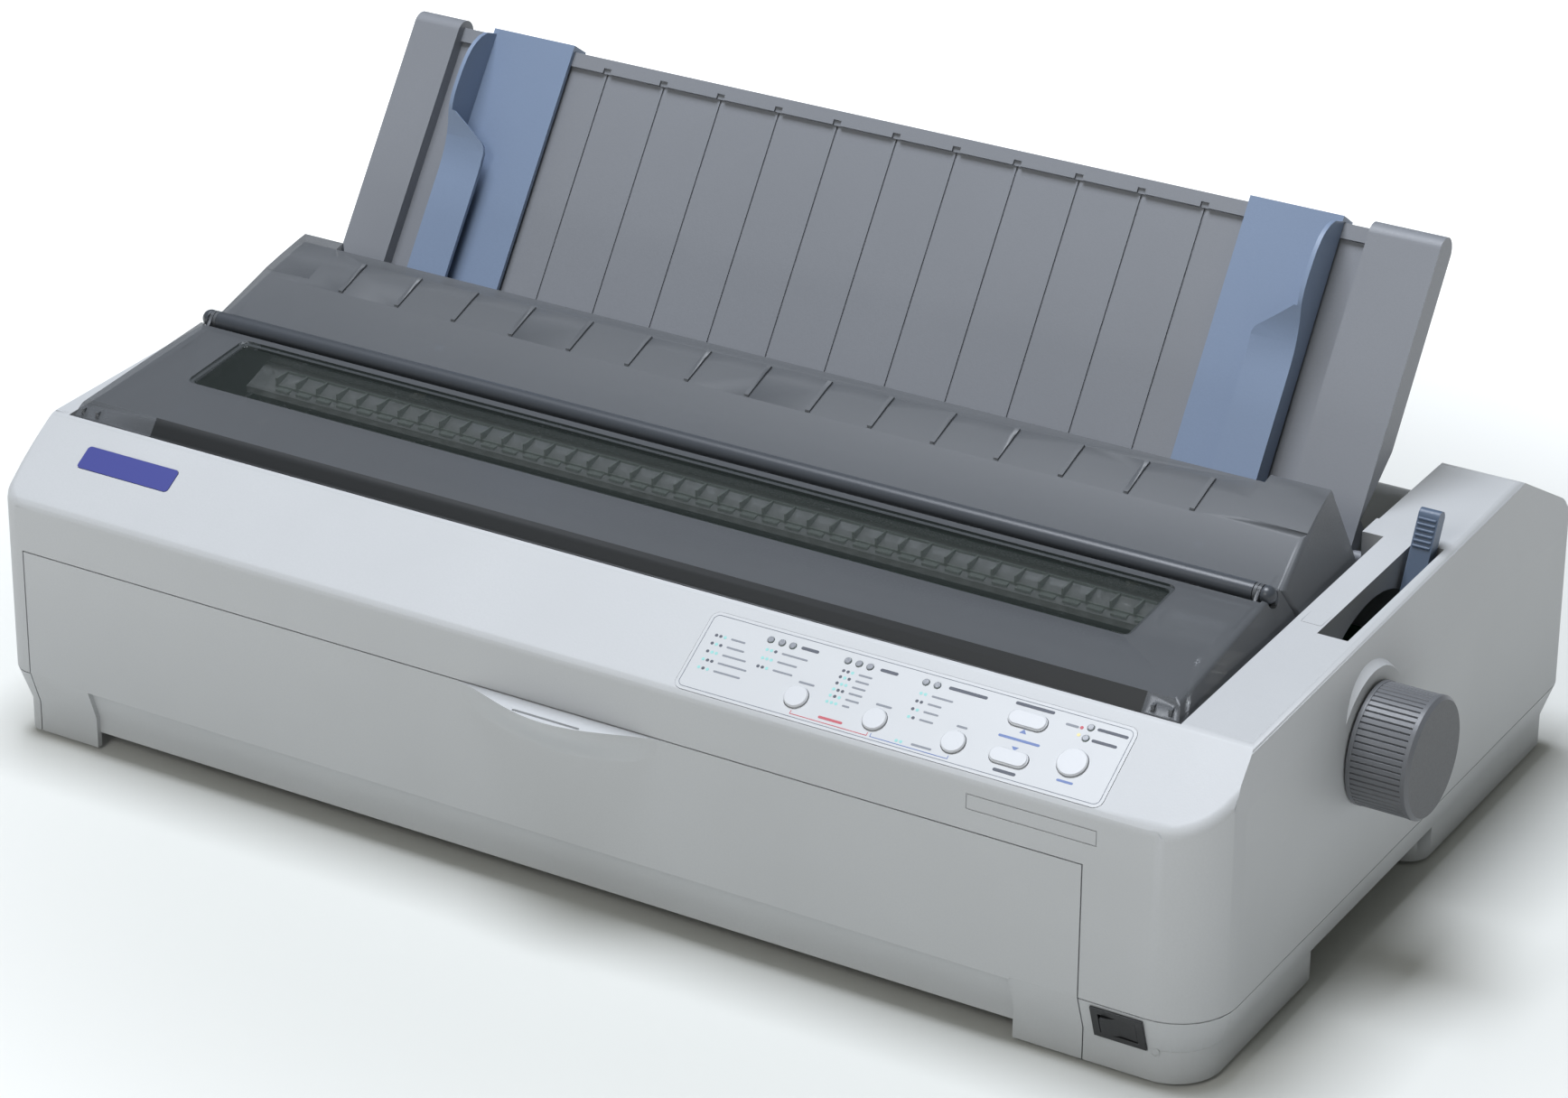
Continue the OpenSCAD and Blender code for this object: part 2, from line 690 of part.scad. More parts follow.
// Its underside falls back to the face in a smooth wave, deepest in the middle
function lip_point(i, k) = let (t = i / lip_cols * 2 - 1, s = k / lip_rows)
    [lip_x + lip_half * t, 0.5 - (lip_reach(t) + 0.5) * (1 + cos(180 * s)) / 2,
        door_top - lip_deep * s * pow(cos(80 * t), 0.4)];
module finger_lip() {
    cols = lip_cols + 1;
    rows = lip_rows + 1;
    // the front grid, closed by a flat top and a back inside the cover
    top = cols * rows;
    low = top + cols;
    points = concat([for (i = [0 : lip_cols]) for (k = [0 : lip_rows]) lip_point(i, k)],
        [for (i = [0 : lip_cols]) [lip_point(i, 0)[0], 1.5, door_top]],
        [for (i = [0 : lip_cols]) [lip_point(i, 0)[0], 1.5, lip_point(i, lip_rows)[2]]]);
    spans = [for (i = [0 : lip_cols - 1]) i];
    front = [for (i = spans) for (k = [0 : lip_rows - 1]) let (a = i * rows + k, b = a + rows)
        each [[a, b + 1, a + 1], [a, b, b + 1]]];
    lid = [for (i = spans) let (a = i * rows, b = a + rows)
        each [[a, top + i + 1, b], [a, top + i, top + i + 1]]];
    foot = [for (i = spans) let (a = i * rows + lip_rows, b = a + rows)
        each [[a, b, low + i + 1], [a, low + i + 1, low + i]]];
    rear = [for (i = spans) each [[top + i, low + i + 1, top + i + 1], [top + i, low + i, low + i + 1]]];
    left = concat([for (k = [0 : lip_rows]) k], [low, top]);
    right = concat([for (k = [lip_rows : -1 : 0]) (cols - 1) * rows + k], [low - 1, low + cols - 1]);
    polyhedron(points, concat(front, lid, foot, rear, [left], [right]));
}

module front_cover() color(case_grey) centred() difference() {
    union() {
        along_x(door_x0, door_x1) polygon([[0, seam_z], [0, door_top], [door_t, door_top],
            [door_t, seam_z]]);
        for (x = [door_x0, door_x1 - leg_w]) along_x(x, x + leg_w) cover_foot(0, skirt_foot);
        // between the legs the skirt stands back and ends above the table
        along_x(door_x0 + leg_w - 1, door_x1 - leg_w + 1) cover_foot(2.4, 9);
        along_x(door_x0 + leg_w - 1, door_x1 - leg_w + 1) polygon([[0, seam_z - 1.5], [0, seam_z + 1],
            [door_t + 2.4, seam_z + 1], [door_t + 2.4, seam_z - 1.5]]);
        finger_lip();
        // hinge bosses, pins and stiffening ribs
        for (x = [door_x0, door_x1 - 6]) along_x(x, x + 6) rounded([[skirt_in + 1, door_pin_z - 4.5],
            [door_pin_y + 4.5, door_pin_z - 4.5], [door_pin_y + 4.5, door_pin_z + 4.5],
            [skirt_in + 1, door_pin_z + 4.5]], [0, 4.4, 4.4, 0]);
        rod_x(door_x0 - door_gap - cheek_w, door_x0 + 1, [door_pin_y, door_pin_z], door_pin_r);
        rod_x(door_x1 - 1, door_x1 + door_gap + cheek_w, [door_pin_y, door_pin_z], door_pin_r);
        for (x = [door_x0 + 4, door_x0 + 180, door_x1 - 182, door_x1 - 6])
            block([x, door_t - 0.5, seam_z + 8], [x + 2, door_t + 4, door_top - 6]);
    }
    // finger groove along the lip
    translate([lip_x, -lip_out + 3.4, door_top - 1.2]) pill(34, 1.6, 3);
}

// ---- lid and hood ----

// Upright sides that lean inwards above the case, drawn in by t
module cheek_section(t) {
    h = 50;
    polygon([[cover_x0 + t, cover_z - 20], [cover_x0 + t, cover_z], [cover_x0 + t + lean * h, cover_z + h],
        [cover_x1 - t - lean * h, cover_z + h], [cover_x1 - t, cover_z], [cover_x1 - t, cover_z - 20]]);
}

// Slope of the lid's top plate and a move onto it
lid_top = [lid_y0 + 5.8, 152.5];
lid_end = [lid_back, 159.3];
lid_a = atan((lid_end[1] - lid_top[1]) / (lid_end[0] - lid_top[0]));
module on_lid(h) {
    translate([0, lid_top[0], lid_top[1]]) rotate([lid_a, 0, 0]) translate([0, -lid_top[0], h]) children();
}

module lid_frame() color(smoke) centred() difference() {
    union() {
        difference() {
            intersection() {
                along_x(cover_x0, cover_x1) polygon([[lid_y0, cover_z], [lid_y0 + 0.2, 145.3], lid_top,
                    lid_end, [146, 160.4], [154, cover_z]]);
                along_y(0, 200) cheek_section(0);
            }
            intersection() {
                along_x(0, case_w) polygon([[lid_y0 + cover_t, cover_z - 5], [lid_y0 + cover_t + 0.2, 144.4],
                    lid_top + [1.5, -cover_t], lid_end + [0, -cover_t], lid_end + [0, 10], [170, 170],
                    [170, cover_z - 5]]);
                along_y(0, 200) cheek_section(cover_t);
            }
            // the ball of the roller sits in an open notch in each cheek
            both_ends() {
                rod_x(cover_x0 - 1, ear_lid_x, [roller_y, roller_z], ball_r + 0.8);
                block([cover_x0 - 1, roller_y - ball_r - 0.8, roller_z], [ear_lid_x,
                    roller_y + ball_r + 0.8, roller_z + 9]);
            }
            // window opening with a rebate round it
            on_lid(-4) rounded_plate(window_x, window_y, 3, 8);
            on_lid(-1.2) rounded_plate(window_x + [-2, 2], window_y + [-2, 2], 4, 4);
        }
        // ears on the roller's necks
        both_ends() along_x(ear_lid_x, ear_lid_x + ear_t) {
            polygon([[112, 152.8], [112, 156.6], [131.5, 158.2], [136.4, roller_z + 3.3],
                [roller_y, roller_z + ear_r], [roller_y, roller_z - ear_r], [131, 153.6]]);
            translate([roller_y, roller_z]) circle(r = ear_r);
        }
        // upright clips inside the front corners
        both_ends() for (x = [14, 22]) block([x, lid_y0 + 1, cover_z + 1], [x + 1.6, lid_y0 + 9, 149.5]);
    }
    both_ends() rod_x(ear_lid_x - 1, ear_lid_x + ear_t + 1, [roller_y, roller_z], neck_r + run_gap);
}

module lid_window() color(clear) centred() {
    on_lid(-1.2) rounded_plate(window_x + [-1.9, 1.9], window_y + [-1.9, 1.9], 3.9, 1.2);
    on_lid(-2.5) rounded_plate(window_x + [0.1, -0.1], window_y + [0.1, -0.1], 2.9, 1.4);
}

module lid_roller() color(dark) centred() {
    axle = [roller_y, roller_z];
    far = open_x0 + open_x1 - roller_x;
    rod_x(roller_x, far, axle, roller_r);
    both_ends() {
        rod_x(ball_end - 0.5, roller_x + 1, axle, neck_r);
        intersection() {
            translate([ball_x, roller_y, roller_z]) sphere(r = ball_r);
            block([0, 0, 0], [ball_end, 200, 200]);
        }
    }
}

hood_skin = [[147.6, 158.8], [176, 169.6], [191, 174.5], [ridge_y, ridge_z]];
module hood() color(smoke) centred() difference() {
    union() {
        difference() {
            intersection() {
                union() {
                    along_x(cover_x0, cover_x1) polygon(concat([[155.2, cover_z]], hood_skin,
                        [[ridge_y + 1, 175], [ridge_y + 1.6, cover_z]]));
                    for (x = [[cover_x0, wing_x[0]], [wing_x[1], cover_x1]]) along_x(x[0], x[1])
                        polygon([[180, cover_z], [180, 171], hood_skin[2], hood_skin[3],
                            wing_ridge, wing_ridge + [1.2, -1.8], [wing_y, 146.3], [wing_y - 0.6, cover_z]]);
                }
                along_y(0, 230) cheek_section(0);
            }
            intersection() {
                union() {
                    along_x(0, case_w) polygon([[140, cover_z - 5], [140, 153.2], hood_skin[1] - [0, 2.7],
                        hood_skin[2] - [0, 2.6], [ridge_y - cover_t, ridge_z - 3],
                        [ridge_y - 0.8, cover_z - 5]]);
                    for (x = [[0, wing_x[0] - cover_t], [wing_x[1] + cover_t, case_w]]) along_x(x[0], x[1])
                        polygon([[185, cover_z - 5], [185, 169], hood_skin[2] - [0, 2.6],
                            wing_ridge - [cover_t, 2.9], [wing_y - cover_t, 146.3],
                            [wing_y - cover_t - 0.6, cover_z - 5]]);
                }
                along_y(0, 230) cheek_section(cover_t);
            }
        }
        // ribs over the front ridge
        for (i = [0 : hood_ribs - 1]) let (x = hood_rib_x + hood_rib_pitch * i)
            along_x(x, x + 2.2) polygon([[176, 168], [176.6, 170.9], [191, 175.8], [196.6, 177.3],
                [198.2, 175.4], [191, 173]]);
        // ears on the roller's necks
        both_ends() along_x(ear_hood_x, ear_hood_x + ear_t) {
            polygon([[roller_y, roller_z - ear_r], [147, 153.8], [158, 157], [158, 161.2],
                [147.8, 157.8], [142, roller_z + 2.9], [roller_y, roller_z + ear_r]]);
            translate([roller_y, roller_z]) circle(r = ear_r);
        }
        // hinge lugs and pins
        both_ends() {
            along_x(cover_x0, cover_x0 + cover_t) {
                translate([hood_pin_y - 6, hood_pin_z]) square([12, cover_z - hood_pin_z + 1]);
                translate([hood_pin_y, hood_pin_z]) circle(r = 6);
            }
            rod_x(open_x0 - collar_t, cover_x0 + 1, [hood_pin_y, hood_pin_z], hood_pin_r);
        }
    }
    both_ends() rod_x(ear_hood_x - 1, ear_hood_x + ear_t + 0.6, [roller_y, roller_z], neck_r + run_gap);
}

// ---- paper guide ----

rail_top = guide_len + 4 - rail_t / 2;
rail_side = [[rail_t, rail_top], [rail_t, 30], [10, 16], [8, 12], [8, 0], [0, 0], [0, rail_top]];
module rail(x0, x1) {
    difference() {
        along_x(x0, x1) {
            polygon(rail_side);
            translate([rail_t / 2, rail_top]) circle(d = rail_t);
            translate([pivot_h, 0]) circle(r = pivot_h + 1.5);
        }
        // the moulding is open at the back
        block([x0 + 2.5, 2.5, 56], [x1 - 2.5, rail_t + 1, rail_top]);
    }
}

module paper_guide() color(guide_grey) centred() on_guide() {
    rail(guide_x0, guide_in0);
    difference() {
        rail(guide_in1, guide_x1);
        // bevel that clears the case's shoulder when the guide is laid back
        translate([0, pivot_h, 0]) rotate([guide_lean + guide_back, 0, 0]) translate([0, -pivot_y, -pivot_z])
            along_y(open_y1 - 3, case_d) translate([-0.5, 0]) shoulder_section(0);
    }
    rod_x(open_x0 - collar_t, guide_x0 + 1, [pivot_h, 0], pivot_r);
    rod_x(guide_x1 - 1, step_x + collar_t, [pivot_h, 0], pivot_r);
    difference() {
        union() {
            block([guide_in0 - 1, -panel_h, 8], [guide_in1 + 1, -panel_h + panel_t, guide_len]);
            block([guide_in0 - 1, -bar_h, guide_len - bar_w], [guide_in1 + 1, -bar_h + bar_t, guide_len]);
            block([guide_in0 - 1, -panel_h, 6], [guide_in1 + 1, -panel_h + 5, 12]);
        }
        for (i = [0 : seams - 1]) let (x = seam_x + seam_pitch * i) {
            block([x - 0.5, -panel_h - 1, 12], [x + 0.5, -panel_h + 0.9, guide_len - bar_w]);
            block([x - 2, -bar_h - 1, guide_len - bar_w - 1], [x + 2, -bar_h + 1.2, guide_len - bar_w + 2.5]);
        }
    }
}

// Height of the edge guide's fin over its base at u, measured up the guide
fin_low = 9.5;
fin_top = 99;
fin_base = 68;
function fin_at(u) = u < fin_base ? fin_low
    : u < fin_top ? fin_low + (fin_h - 2 - fin_low) * pow((u - fin_base) / (fin_top - fin_base), 2.5)
    : u < 109 ? fin_h - 2 * pow(1 - (u - fin_top) / 10, 2)
    : fin_h * sqrt(max(0, 1 - pow((u - 109) / (guide_len - 109), 3)));
fin_line = [for (u = [13, 40, 68, 73, 78, 83, 88, 93, 99, 102, 106, 110, 115, 120, 125, 130, 134,
    138, 141, 143]) [-fin_at(u), u]];
module edge_guide(x, inward) {
    // drawn for the left side; inward turns it round for the right
    translate([inward > 0 ? x : x + edge_w, 0, 0]) mirror([inward > 0 ? 0 : 1, 0, 0])
    translate([0, -base_h, 0]) {
        block([0, 0, 13], [edge_w, base_t, guide_len + 2.6]);
        // hook over the guide's top bar
        back = -bar_h + bar_t + base_h + seat;
        block([0, 0, guide_len + seat], [edge_w, back + 2, guide_len + 2.6]);
        block([0, back, guide_len - 10], [edge_w, back + 2, guide_len + 2.6]);
        along_x(0, plate_t) polygon(concat([[base_t, 143], [base_t, 13]], fin_line));
        // inward lip that follows the fin's edge, with a slanting upper corner
        intersection() {
            along_x(0, lip_w) polygon(concat(
                [for (k = [0 : 8]) fin_line[k]],
                [for (k = [8 : -1 : 0]) fin_line[k] + [plate_t, 0]]));
            along_y(-40, 10) rounded([[0, 10], [lip_w, 10], [lip_w, fin_top - 13], [2, fin_top + 1],
                [0, fin_top + 1]], [0, 3, 6, 0, 0]);
        }
        for (u = [20, 48]) block([plate_t - e, -fin_low + 1, u], [12, 0.5, u + 1.6]);
    }
}
module edge_guide_left() color(guide_blue) centred() on_guide() edge_guide(edge_x[0], 1);
module edge_guide_right() color(guide_blue) centred() on_guide() edge_guide(edge_x[1], -1);

// ---- controls ----

module control_overlay() color(off_white) centred() difference() {
    on_slope(0, 0, -overlay_t) overlay_shape(0, overlay_t + 0.15);
    button_holes(hole_gap, -3, 6);
}

// Circuit board with the lamps and the push switches
module panel_board() color(board_green) centred() {
    on_slope(0, 0, board_h - 1.6) rounded_plate([panel_x - 181.3, panel_x - 5.3], [4, 39], 1, 1.6);
    for (p = lamps) on_slope(p[0], p[1], board_h - e) cylinder(h = 0.4 - board_h, r = lamp_r);
    for (x = button_xs) on_slope(x, button_s, board_h - e) translate([-3, -3, 0]) cube([6, 6, 3]);
    for (s = [load_s, feed_s]) on_slope(bar_x, s, board_h - e) translate([-3, -3, 0]) cube([6, 6, 3]);
    on_slope(pause_at[0], pause_at[1], board_h - e) translate([-3, -3, 0]) cube([6, 6, 3]);
    // posts up to the panel
    for (x = [panel_x - 177.3, panel_x - 9.3]) for (s = [8, 30])
        on_slope(x, s, board_h - e) cylinder(h = -board_h - wall * 1.05, r = 2);
}

module badge_plate() color([0.35, 0.37, 0.69]) centred() on_slope(0, 0, -badge_t)
    rounded_plate(badge_x + [0.2, -0.2], badge_s + [0.2, -0.2], 1.8, badge_t + 0.3);

// A push button: cap through the panel, retaining flange and stem to its switch
module button_stem() {
    translate([0, 0, board_h + 3 + button_travel + seat]) cylinder(h = -board_h - 6, r = 2);
}
module round_button(x, s, r) {
    on_slope(x, s) {
        translate([0, 0, -wall - 2]) cylinder(h = wall + 2 + button_up - 0.5, r = r);
        translate([0, 0, button_up - 0.5 - e]) cylinder(h = 0.5 + e, r1 = r, r2 = r - 0.5);
        translate([0, 0, -wall - 2]) cylinder(h = 1.4, r = r + flange);
        button_stem();
    }
}
module bar_button(s) {
    on_slope(bar_x, s) {
        translate([0, 0, -wall - 2]) pill(bar_len, bar_wd, wall + 2 + button_up - 0.5);
        translate([0, 0, button_up - 0.5 - e]) pill(bar_len - 1, bar_wd - 1, 0.5 + e);
        translate([0, 0, -wall - 2]) pill(bar_len + 2 * flange, bar_wd + 2 * flange, 1.4);
        button_stem();
    }
}
module select_button_left() color(off_white) centred() round_button(button_xs[0], button_s, button_r);
module select_button_middle() color(off_white) centred() round_button(button_xs[1], button_s, button_r);
module select_button_right() color(off_white) centred() round_button(button_xs[2], button_s, button_r);
module load_button() color(off_white) centred() bar_button(load_s);
module feed_button() color(off_white) centred() bar_button(feed_s);
module pause_button() color(off_white) centred() round_button(pause_at[0], pause_at[1], pause_r);

module switch_bezel() color(dark) centred() on_skirt(switch_x, switch_s) difference() {
    union() {
        translate([-switch_w / 2 + 0.3, -switch_d / 2 + 0.3, -12])
            cube([switch_w - 0.6, switch_d - 0.6, 13]);
        translate([-switch_w / 2 - 1, -switch_d / 2 - 1, 0.02]) cube([switch_w + 2, switch_d + 2, 1.2]);
    }
    translate([-switch_w / 2 + 2.5, -switch_d / 2 + 2, -8]) cube([switch_w - 5, switch_d - 4, 12]);
    rocker_pin(run_gap, 1);
}
module rocker_pin(g, extra) {
    translate([0, -switch_d / 2 + 0.8 - extra, -3]) rotate([-90, 0, 0])
        cylinder(h = switch_d - 1.6 + 2 * extra, r = 1.2 + g);
}
module power_rocker() color(dark) centred() on_skirt(switch_x, switch_s) {
    rocker_pin(0, 0);
    half = switch_w / 2 - 3.2;
    translate([0, 0, -3]) rotate([0, rock_a, 0]) translate([0, 0, 3]) rotate([90, 0, 0])
        translate([0, 0, -switch_d / 2 + 2.3])
        linear_extrude(switch_d - 4.6) polygon([[-half, 2], [0, 0.6], [half, 2], [half, -1.5], [2, -5],
            [-2, -5], [-half, -1.5]]);
}

// ---- platen and paper feed ----

axle_p = [platen_y, platen_z];
module platen_roller() color(dark) centred() difference() {
    rod_x(frame_x0 + 8, frame_x1 - 8, axle_p, platen_r);
    rod_x(frame_x0, frame_x1, axle_p, platen_shaft_r);
}
module platen_shaft() color(steel) centred() rod_x(frame_x0 - 7, knob_end - 6, axle_p, platen_shaft_r);

// Grip ribs between two smooth rims, dished on the side that faces the case
module platen_knob() color(dark) centred() difference() {
    rim = 2;
    union() {
        rod_x(knob_x, knob_x + rim, axle_p, knob_r);
        rod_x(knob_end - rim - 1.5, knob_end - 1.5, axle_p, knob_r);
        translate([knob_end - 1.5, platen_y, platen_z]) rotate([0, 90, 0])
            cylinder(h = 1.5, r1 = knob_r, r2 = knob_r - 1.5);
        translate([0, platen_y, platen_z]) along_x(knob_x + rim - e, knob_end - rim - 1.5 + e)
            polygon([for (i = [0 : knob_ribs - 1]) each [
                turn([knob_r - 0.2, 0], (i - 0.34) * 360 / knob_ribs),
                turn([knob_r - 0.2, 0], (i + 0.34) * 360 / knob_ribs),
                turn([knob_r - 1, 0], (i + 0.5) * 360 / knob_ribs)]]);
    }
    rod_x(knob_x - 1, knob_end - 6, axle_p, platen_shaft_r);
    difference() {
        rod_x(knob_x - 1, knob_x + 12, axle_p, knob_r - 4);
        rod_x(knob_x - 2, knob_x + 13, axle_p, platen_shaft_r + 5);
    }
}

module platen_gear() color(off_white) centred() difference() {
    union() {
        gear(platen_teeth, axle_p, platen_turn);
        rod_x(gear_x + gear_w - 1, gear_x + gear_w + 5, axle_p, platen_shaft_r + 4);
    }
    rod_x(gear_x - 1, gear_x + gear_w + 6, axle_p, platen_shaft_r);
    difference() {
        rod_x(gear_x - 1, gear_x + 2, axle_p, 17);
        rod_x(gear_x - 2, gear_x + 3, axle_p, 10);
    }
}

bush_r = 9;
module platen_bushings() color(off_white) centred() difference() {
    union() {
        rod_x(frame_x0, frame_x0 + frame_t + 3, axle_p, bush_r);
        rod_x(frame_x0 + frame_t, frame_x0 + frame_t + 3, axle_p, bush_r + 2);
        rod_x(frame_x1 - 3, frame_x1 + frame_t, axle_p, bush_r);
        rod_x(frame_x1 - 3, frame_x1, axle_p, bush_r + 2);
    }
    rod_x(0, case_w, axle_p, platen_shaft_r + run_gap);
}

module feed_gear() color(off_white) centred() difference() {
    gear(idler_teeth, idler_yz, idler_turn);
    rod_x(gear_x - 1, gear_x + gear_w + 1, idler_yz, stud_r + run_gap);
}
module motor_pinion() color(steel) centred() {
    gear(pinion_teeth, pinion_yz, pinion_turn);
    rod_x(frame_x1 - 20, gear_x + gear_w + 1, pinion_yz, motor_shaft_r);
}
module feed_motor() color(steel) centred() difference() {
    union() {
        rod_x(frame_x1 - 38, frame_x1 - 2, pinion_yz, motor_r);
        translate([frame_x1 - 2, pinion_yz[0] - 24, pinion_yz[1] - 24]) cube([2, 48, 48]);
    }
    rod_x(frame_x1 - 21, frame_x1 + 1, pinion_yz, motor_shaft_r + run_gap);
}

module tractor_shaft() color(steel) centred() {
    x0 = frame_x0 + frame_t + 1;
    translate([x0, tractor_yz[0] - drive_af / 2, tractor_yz[1] - drive_af / 2])
        cube([frame_x1 - 1 - x0, drive_af, drive_af]);
    rod_x(frame_x0 - 2, x0 + 1, tractor_yz, journal_r);
    rod_x(frame_x1 - 2, gear_x + gear_w + 2, tractor_yz, journal_r);
    gear(tractor_teeth, tractor_yz, tractor_turn);
}
module tractor_rod() color(steel) centred() rod_x(frame_x0 - 1, frame_x1 + frame_t + 1, rod_yz, rod_r);

// A push tractor drawn for the left; mirrored for the right
module at_tractor(i) {
    translate([i == 0 ? tractor_x[0] : tractor_x[1] + tractor_w, 0, 0]) mirror([i, 0, 0]) children();
}
wheel_x = (tractor_w - wheel_w) / 2;
module tractor(i) {
    cy = tractor_yz[0];
    cz = tractor_yz[1];
    ey = door_y[0] - 0.3;
    at_tractor(i) difference() {
        union() {
            along_x(0, tractor_w) rounded([[cy - 13.5, cz - 9], [rod_yz[0] + 7, cz - 7],
                [rod_yz[0] + 7, tractor_top - 4], [cy + 20, tractor_top], [cy - 8, tractor_top],
                [cy - 14.5, cz + 3]], [6, 5, 4, 3, 3, 3]);
            for (y = [ey - 2.6, door_y[1] + 0.3]) along_y(y, y + 2.6) {
                translate([0, cz - 4]) square([door_axis[0] * 2, door_axis[1] - cz + 4]);
                translate(door_axis) circle(r = door_axis[0]);
            }
        }
        rod_x(wheel_x - 0.5, wheel_x + wheel_w + 0.5, tractor_yz, wheel_r + pin_h + 0.8);
        rod_x(-1, tractor_w + 1, tractor_yz, drive_af * 0.75);
        rod_x(-1, tractor_w + 1, rod_yz, rod_r + run_gap);
        along_y(ey - 4, door_y[1] + 4) translate(door_axis) circle(r = 1.2 + run_gap);
    }
}
module pin_wheel(i) {
    at_tractor(i) difference() {
        union() {
            rod_x(wheel_x, wheel_x + wheel_w, tractor_yz, wheel_r);
            for (k = [0 : pins - 1]) translate([wheel_x + wheel_w / 2, tractor_yz[0], tractor_yz[1]])
                rotate([360 * k / pins, 0, 0]) cylinder(h = wheel_r + pin_h, r = 1.9);
        }
        translate([-1, tractor_yz[0] - drive_af / 2 - run_gap, tractor_yz[1] - drive_af / 2 - run_gap])
            cube([tractor_w + 2, drive_af + 2 * run_gap, drive_af + 2 * run_gap]);
    }
}
module tractor_door(i) {
    at_tractor(i) difference() {
        union() {
            block([door_axis[0], door_y[0], tractor_top + 1.2],
                [tractor_w, door_y[1], tractor_top + 1.2 + door_slab]);
            along_y(door_y[0], door_y[1]) translate(door_axis) circle(r = 2);
            along_y(door_y[0] - 2.6, door_y[1] + 2.6) translate(door_axis) circle(r = 1.2);
        }
        block([wheel_x, door_y[0] + 2, tractor_top],
            [wheel_x + wheel_w, tractor_yz[0] + 13, tractor_top + 8]);
    }
}
module tractor_lock(i) {
    at_tractor(i) difference() {
        along_x(-lock_t - seat, -seat) {
            translate(rod_yz) circle(r = 7);
            translate(rod_yz) rounded([[-3.5, 0], [3.5, 0], [3, 21], [-3, 21]], [0, 0, 2.5, 2.5]);
        }
        rod_x(-lock_t - 2, 1, rod_yz, rod_r + run_gap);
    }
}
module tractor_left() color(dark) centred() tractor(0);
module tractor_right() color(dark) centred() tractor(1);
module pin_wheel_left() color(off_white) centred() pin_wheel(0);
module pin_wheel_right() color(off_white) centred() pin_wheel(1);
module tractor_door_left() color(dark) centred() tractor_door(0);
module tractor_door_right() color(dark) centred() tractor_door(1);
module tractor_lock_left() color(lever_blue) centred() tractor_lock(0);
module tractor_lock_right() color(lever_blue) centred() tractor_lock(1);

// ---- levers ----

module release_lever() color(lever_blue) centred() difference() {
    union() {
        translate([0, lever_yz[0], lever_yz[1]]) rotate([-lever_lean, 0, 0]) {
            along_x(lever_x, lever_x + lever_w) rounded([[-lever_d / 2, 0], [lever_d / 2, 0],
                [lever_d / 2, lever_len], [-lever_d / 2, lever_len]], [0, 0, lever_d / 2 - 0.3, lever_d / 2 - 0.3]);
            // grip ridges on the cap
            for (k = [0 : 5]) rod_x(lever_x + 0.8, lever_x + lever_w - 0.8,
                [-lever_d / 2, lever_len - 5 - 2.4 * k], 0.7);
        }
        rod_x(lever_x, lever_x + lever_w, lever_yz, lever_stud + 4);
    }
    rod_x(lever_x - 1, lever_x + lever_w + 1, lever_yz, lever_stud + run_gap);
}

module thickness_lever() color(lever_blue) centred() difference() {
    x = frame_x0 - 7;
    union() {
        along_x(x, x + 3) {
            translate([shaft_y, shaft_z]) circle(r = guide_shaft_r + 4);
            translate([shaft_y, shaft_z]) rounded([[-4, 0], [4, 0], [3, 62], [-3, 62]], [0, 0, 2.5, 2.5]);
        }
        along_x(x - 4, x + 3) translate([shaft_y - 3, shaft_z + 54]) square([6, 8]);
    }
    rod_x(x - 5, x + 4, [shaft_y, shaft_z], guide_shaft_r + run_gap);
}

// ---- chassis ----

module base_frame() color(steel) centred() difference() {
    union() {
        block([frame_x0 - 8, 40, floor_z], [frame_x1 + 14, case_d - 12, pan_z]);
        // front rail that steadies the carriage
        block([frame_x0 + frame_t + 0.2, rail_y, pan_z - e], [frame_x1 - 0.2, rail_y + 1.6, rail_z]);
        // standoffs under the main board and the power supply
        for (x = [board_x[0] + 12, board_x[1] - 180, board_x[1] - 34])
            for (y = [board_y[0] + 10, board_y[1] - 20])
            translate([x, y, pan_z - e]) cylinder(h = board_z - pan_z + e, r = 3);
        translate([pulley_x[0], belt_y, pan_z - e]) cylinder(h = belt_z - 2 - pan_z, r = 5);
        translate([pulley_x[0], belt_y, pan_z - e]) cylinder(h = belt_z + belt_h + 4 - pan_z, r = stud_r);
    }
    for (x = [120 : 80 : frame_x1 - 56]) translate([x, 110, floor_z - 1]) cylinder(h = 4, r = 12);
}

module frame_outline() {
    polygon([[64, pan_z], [frame_back, pan_z], [frame_back, 121], [207, 122], [190, 126], [162, frame_top],
        [132, frame_top], [126, 122], [120, 103], [64, 103]]);
}
module side_frame(x) {
    difference() {
        union() {
            along_x(x, x + frame_t) frame_outline();
            // foot flange on the pan
            block([x == frame_x0 ? x - 7 : x, 80, pan_z], [x == frame_x0 ? x + frame_t : x + 9, 96, pan_z + 2]);
            block([x == frame_x0 ? x - 7 : x, 206, pan_z], [x == frame_x0 ? x + frame_t : x + 9, 222, pan_z + 2]);
        }
        rod_x(x - 1, x + frame_t + 1, axle_p, bush_r);
        rod_x(x - 1, x + frame_t + 1, [shaft_y, shaft_z], guide_shaft_r);
        rod_x(x - 1, x + frame_t + 1, tractor_yz, journal_r + run_gap);
        rod_x(x - 1, x + frame_t + 1, rod_yz, rod_r);
        // lightening windows
        along_x(x - 1, x + frame_t + 1) rounded([[104, 36], [140, 36], [140, 58], [112, 58]], [5, 5, 5, 5]);
        along_x(x - 1, x + frame_t + 1) rounded([[205, 50], [220, 50], [220, 98], [205, 98]], [5, 5, 5, 5]);
    }
}
module side_frame_left() color(steel) centred() side_frame(frame_x0);
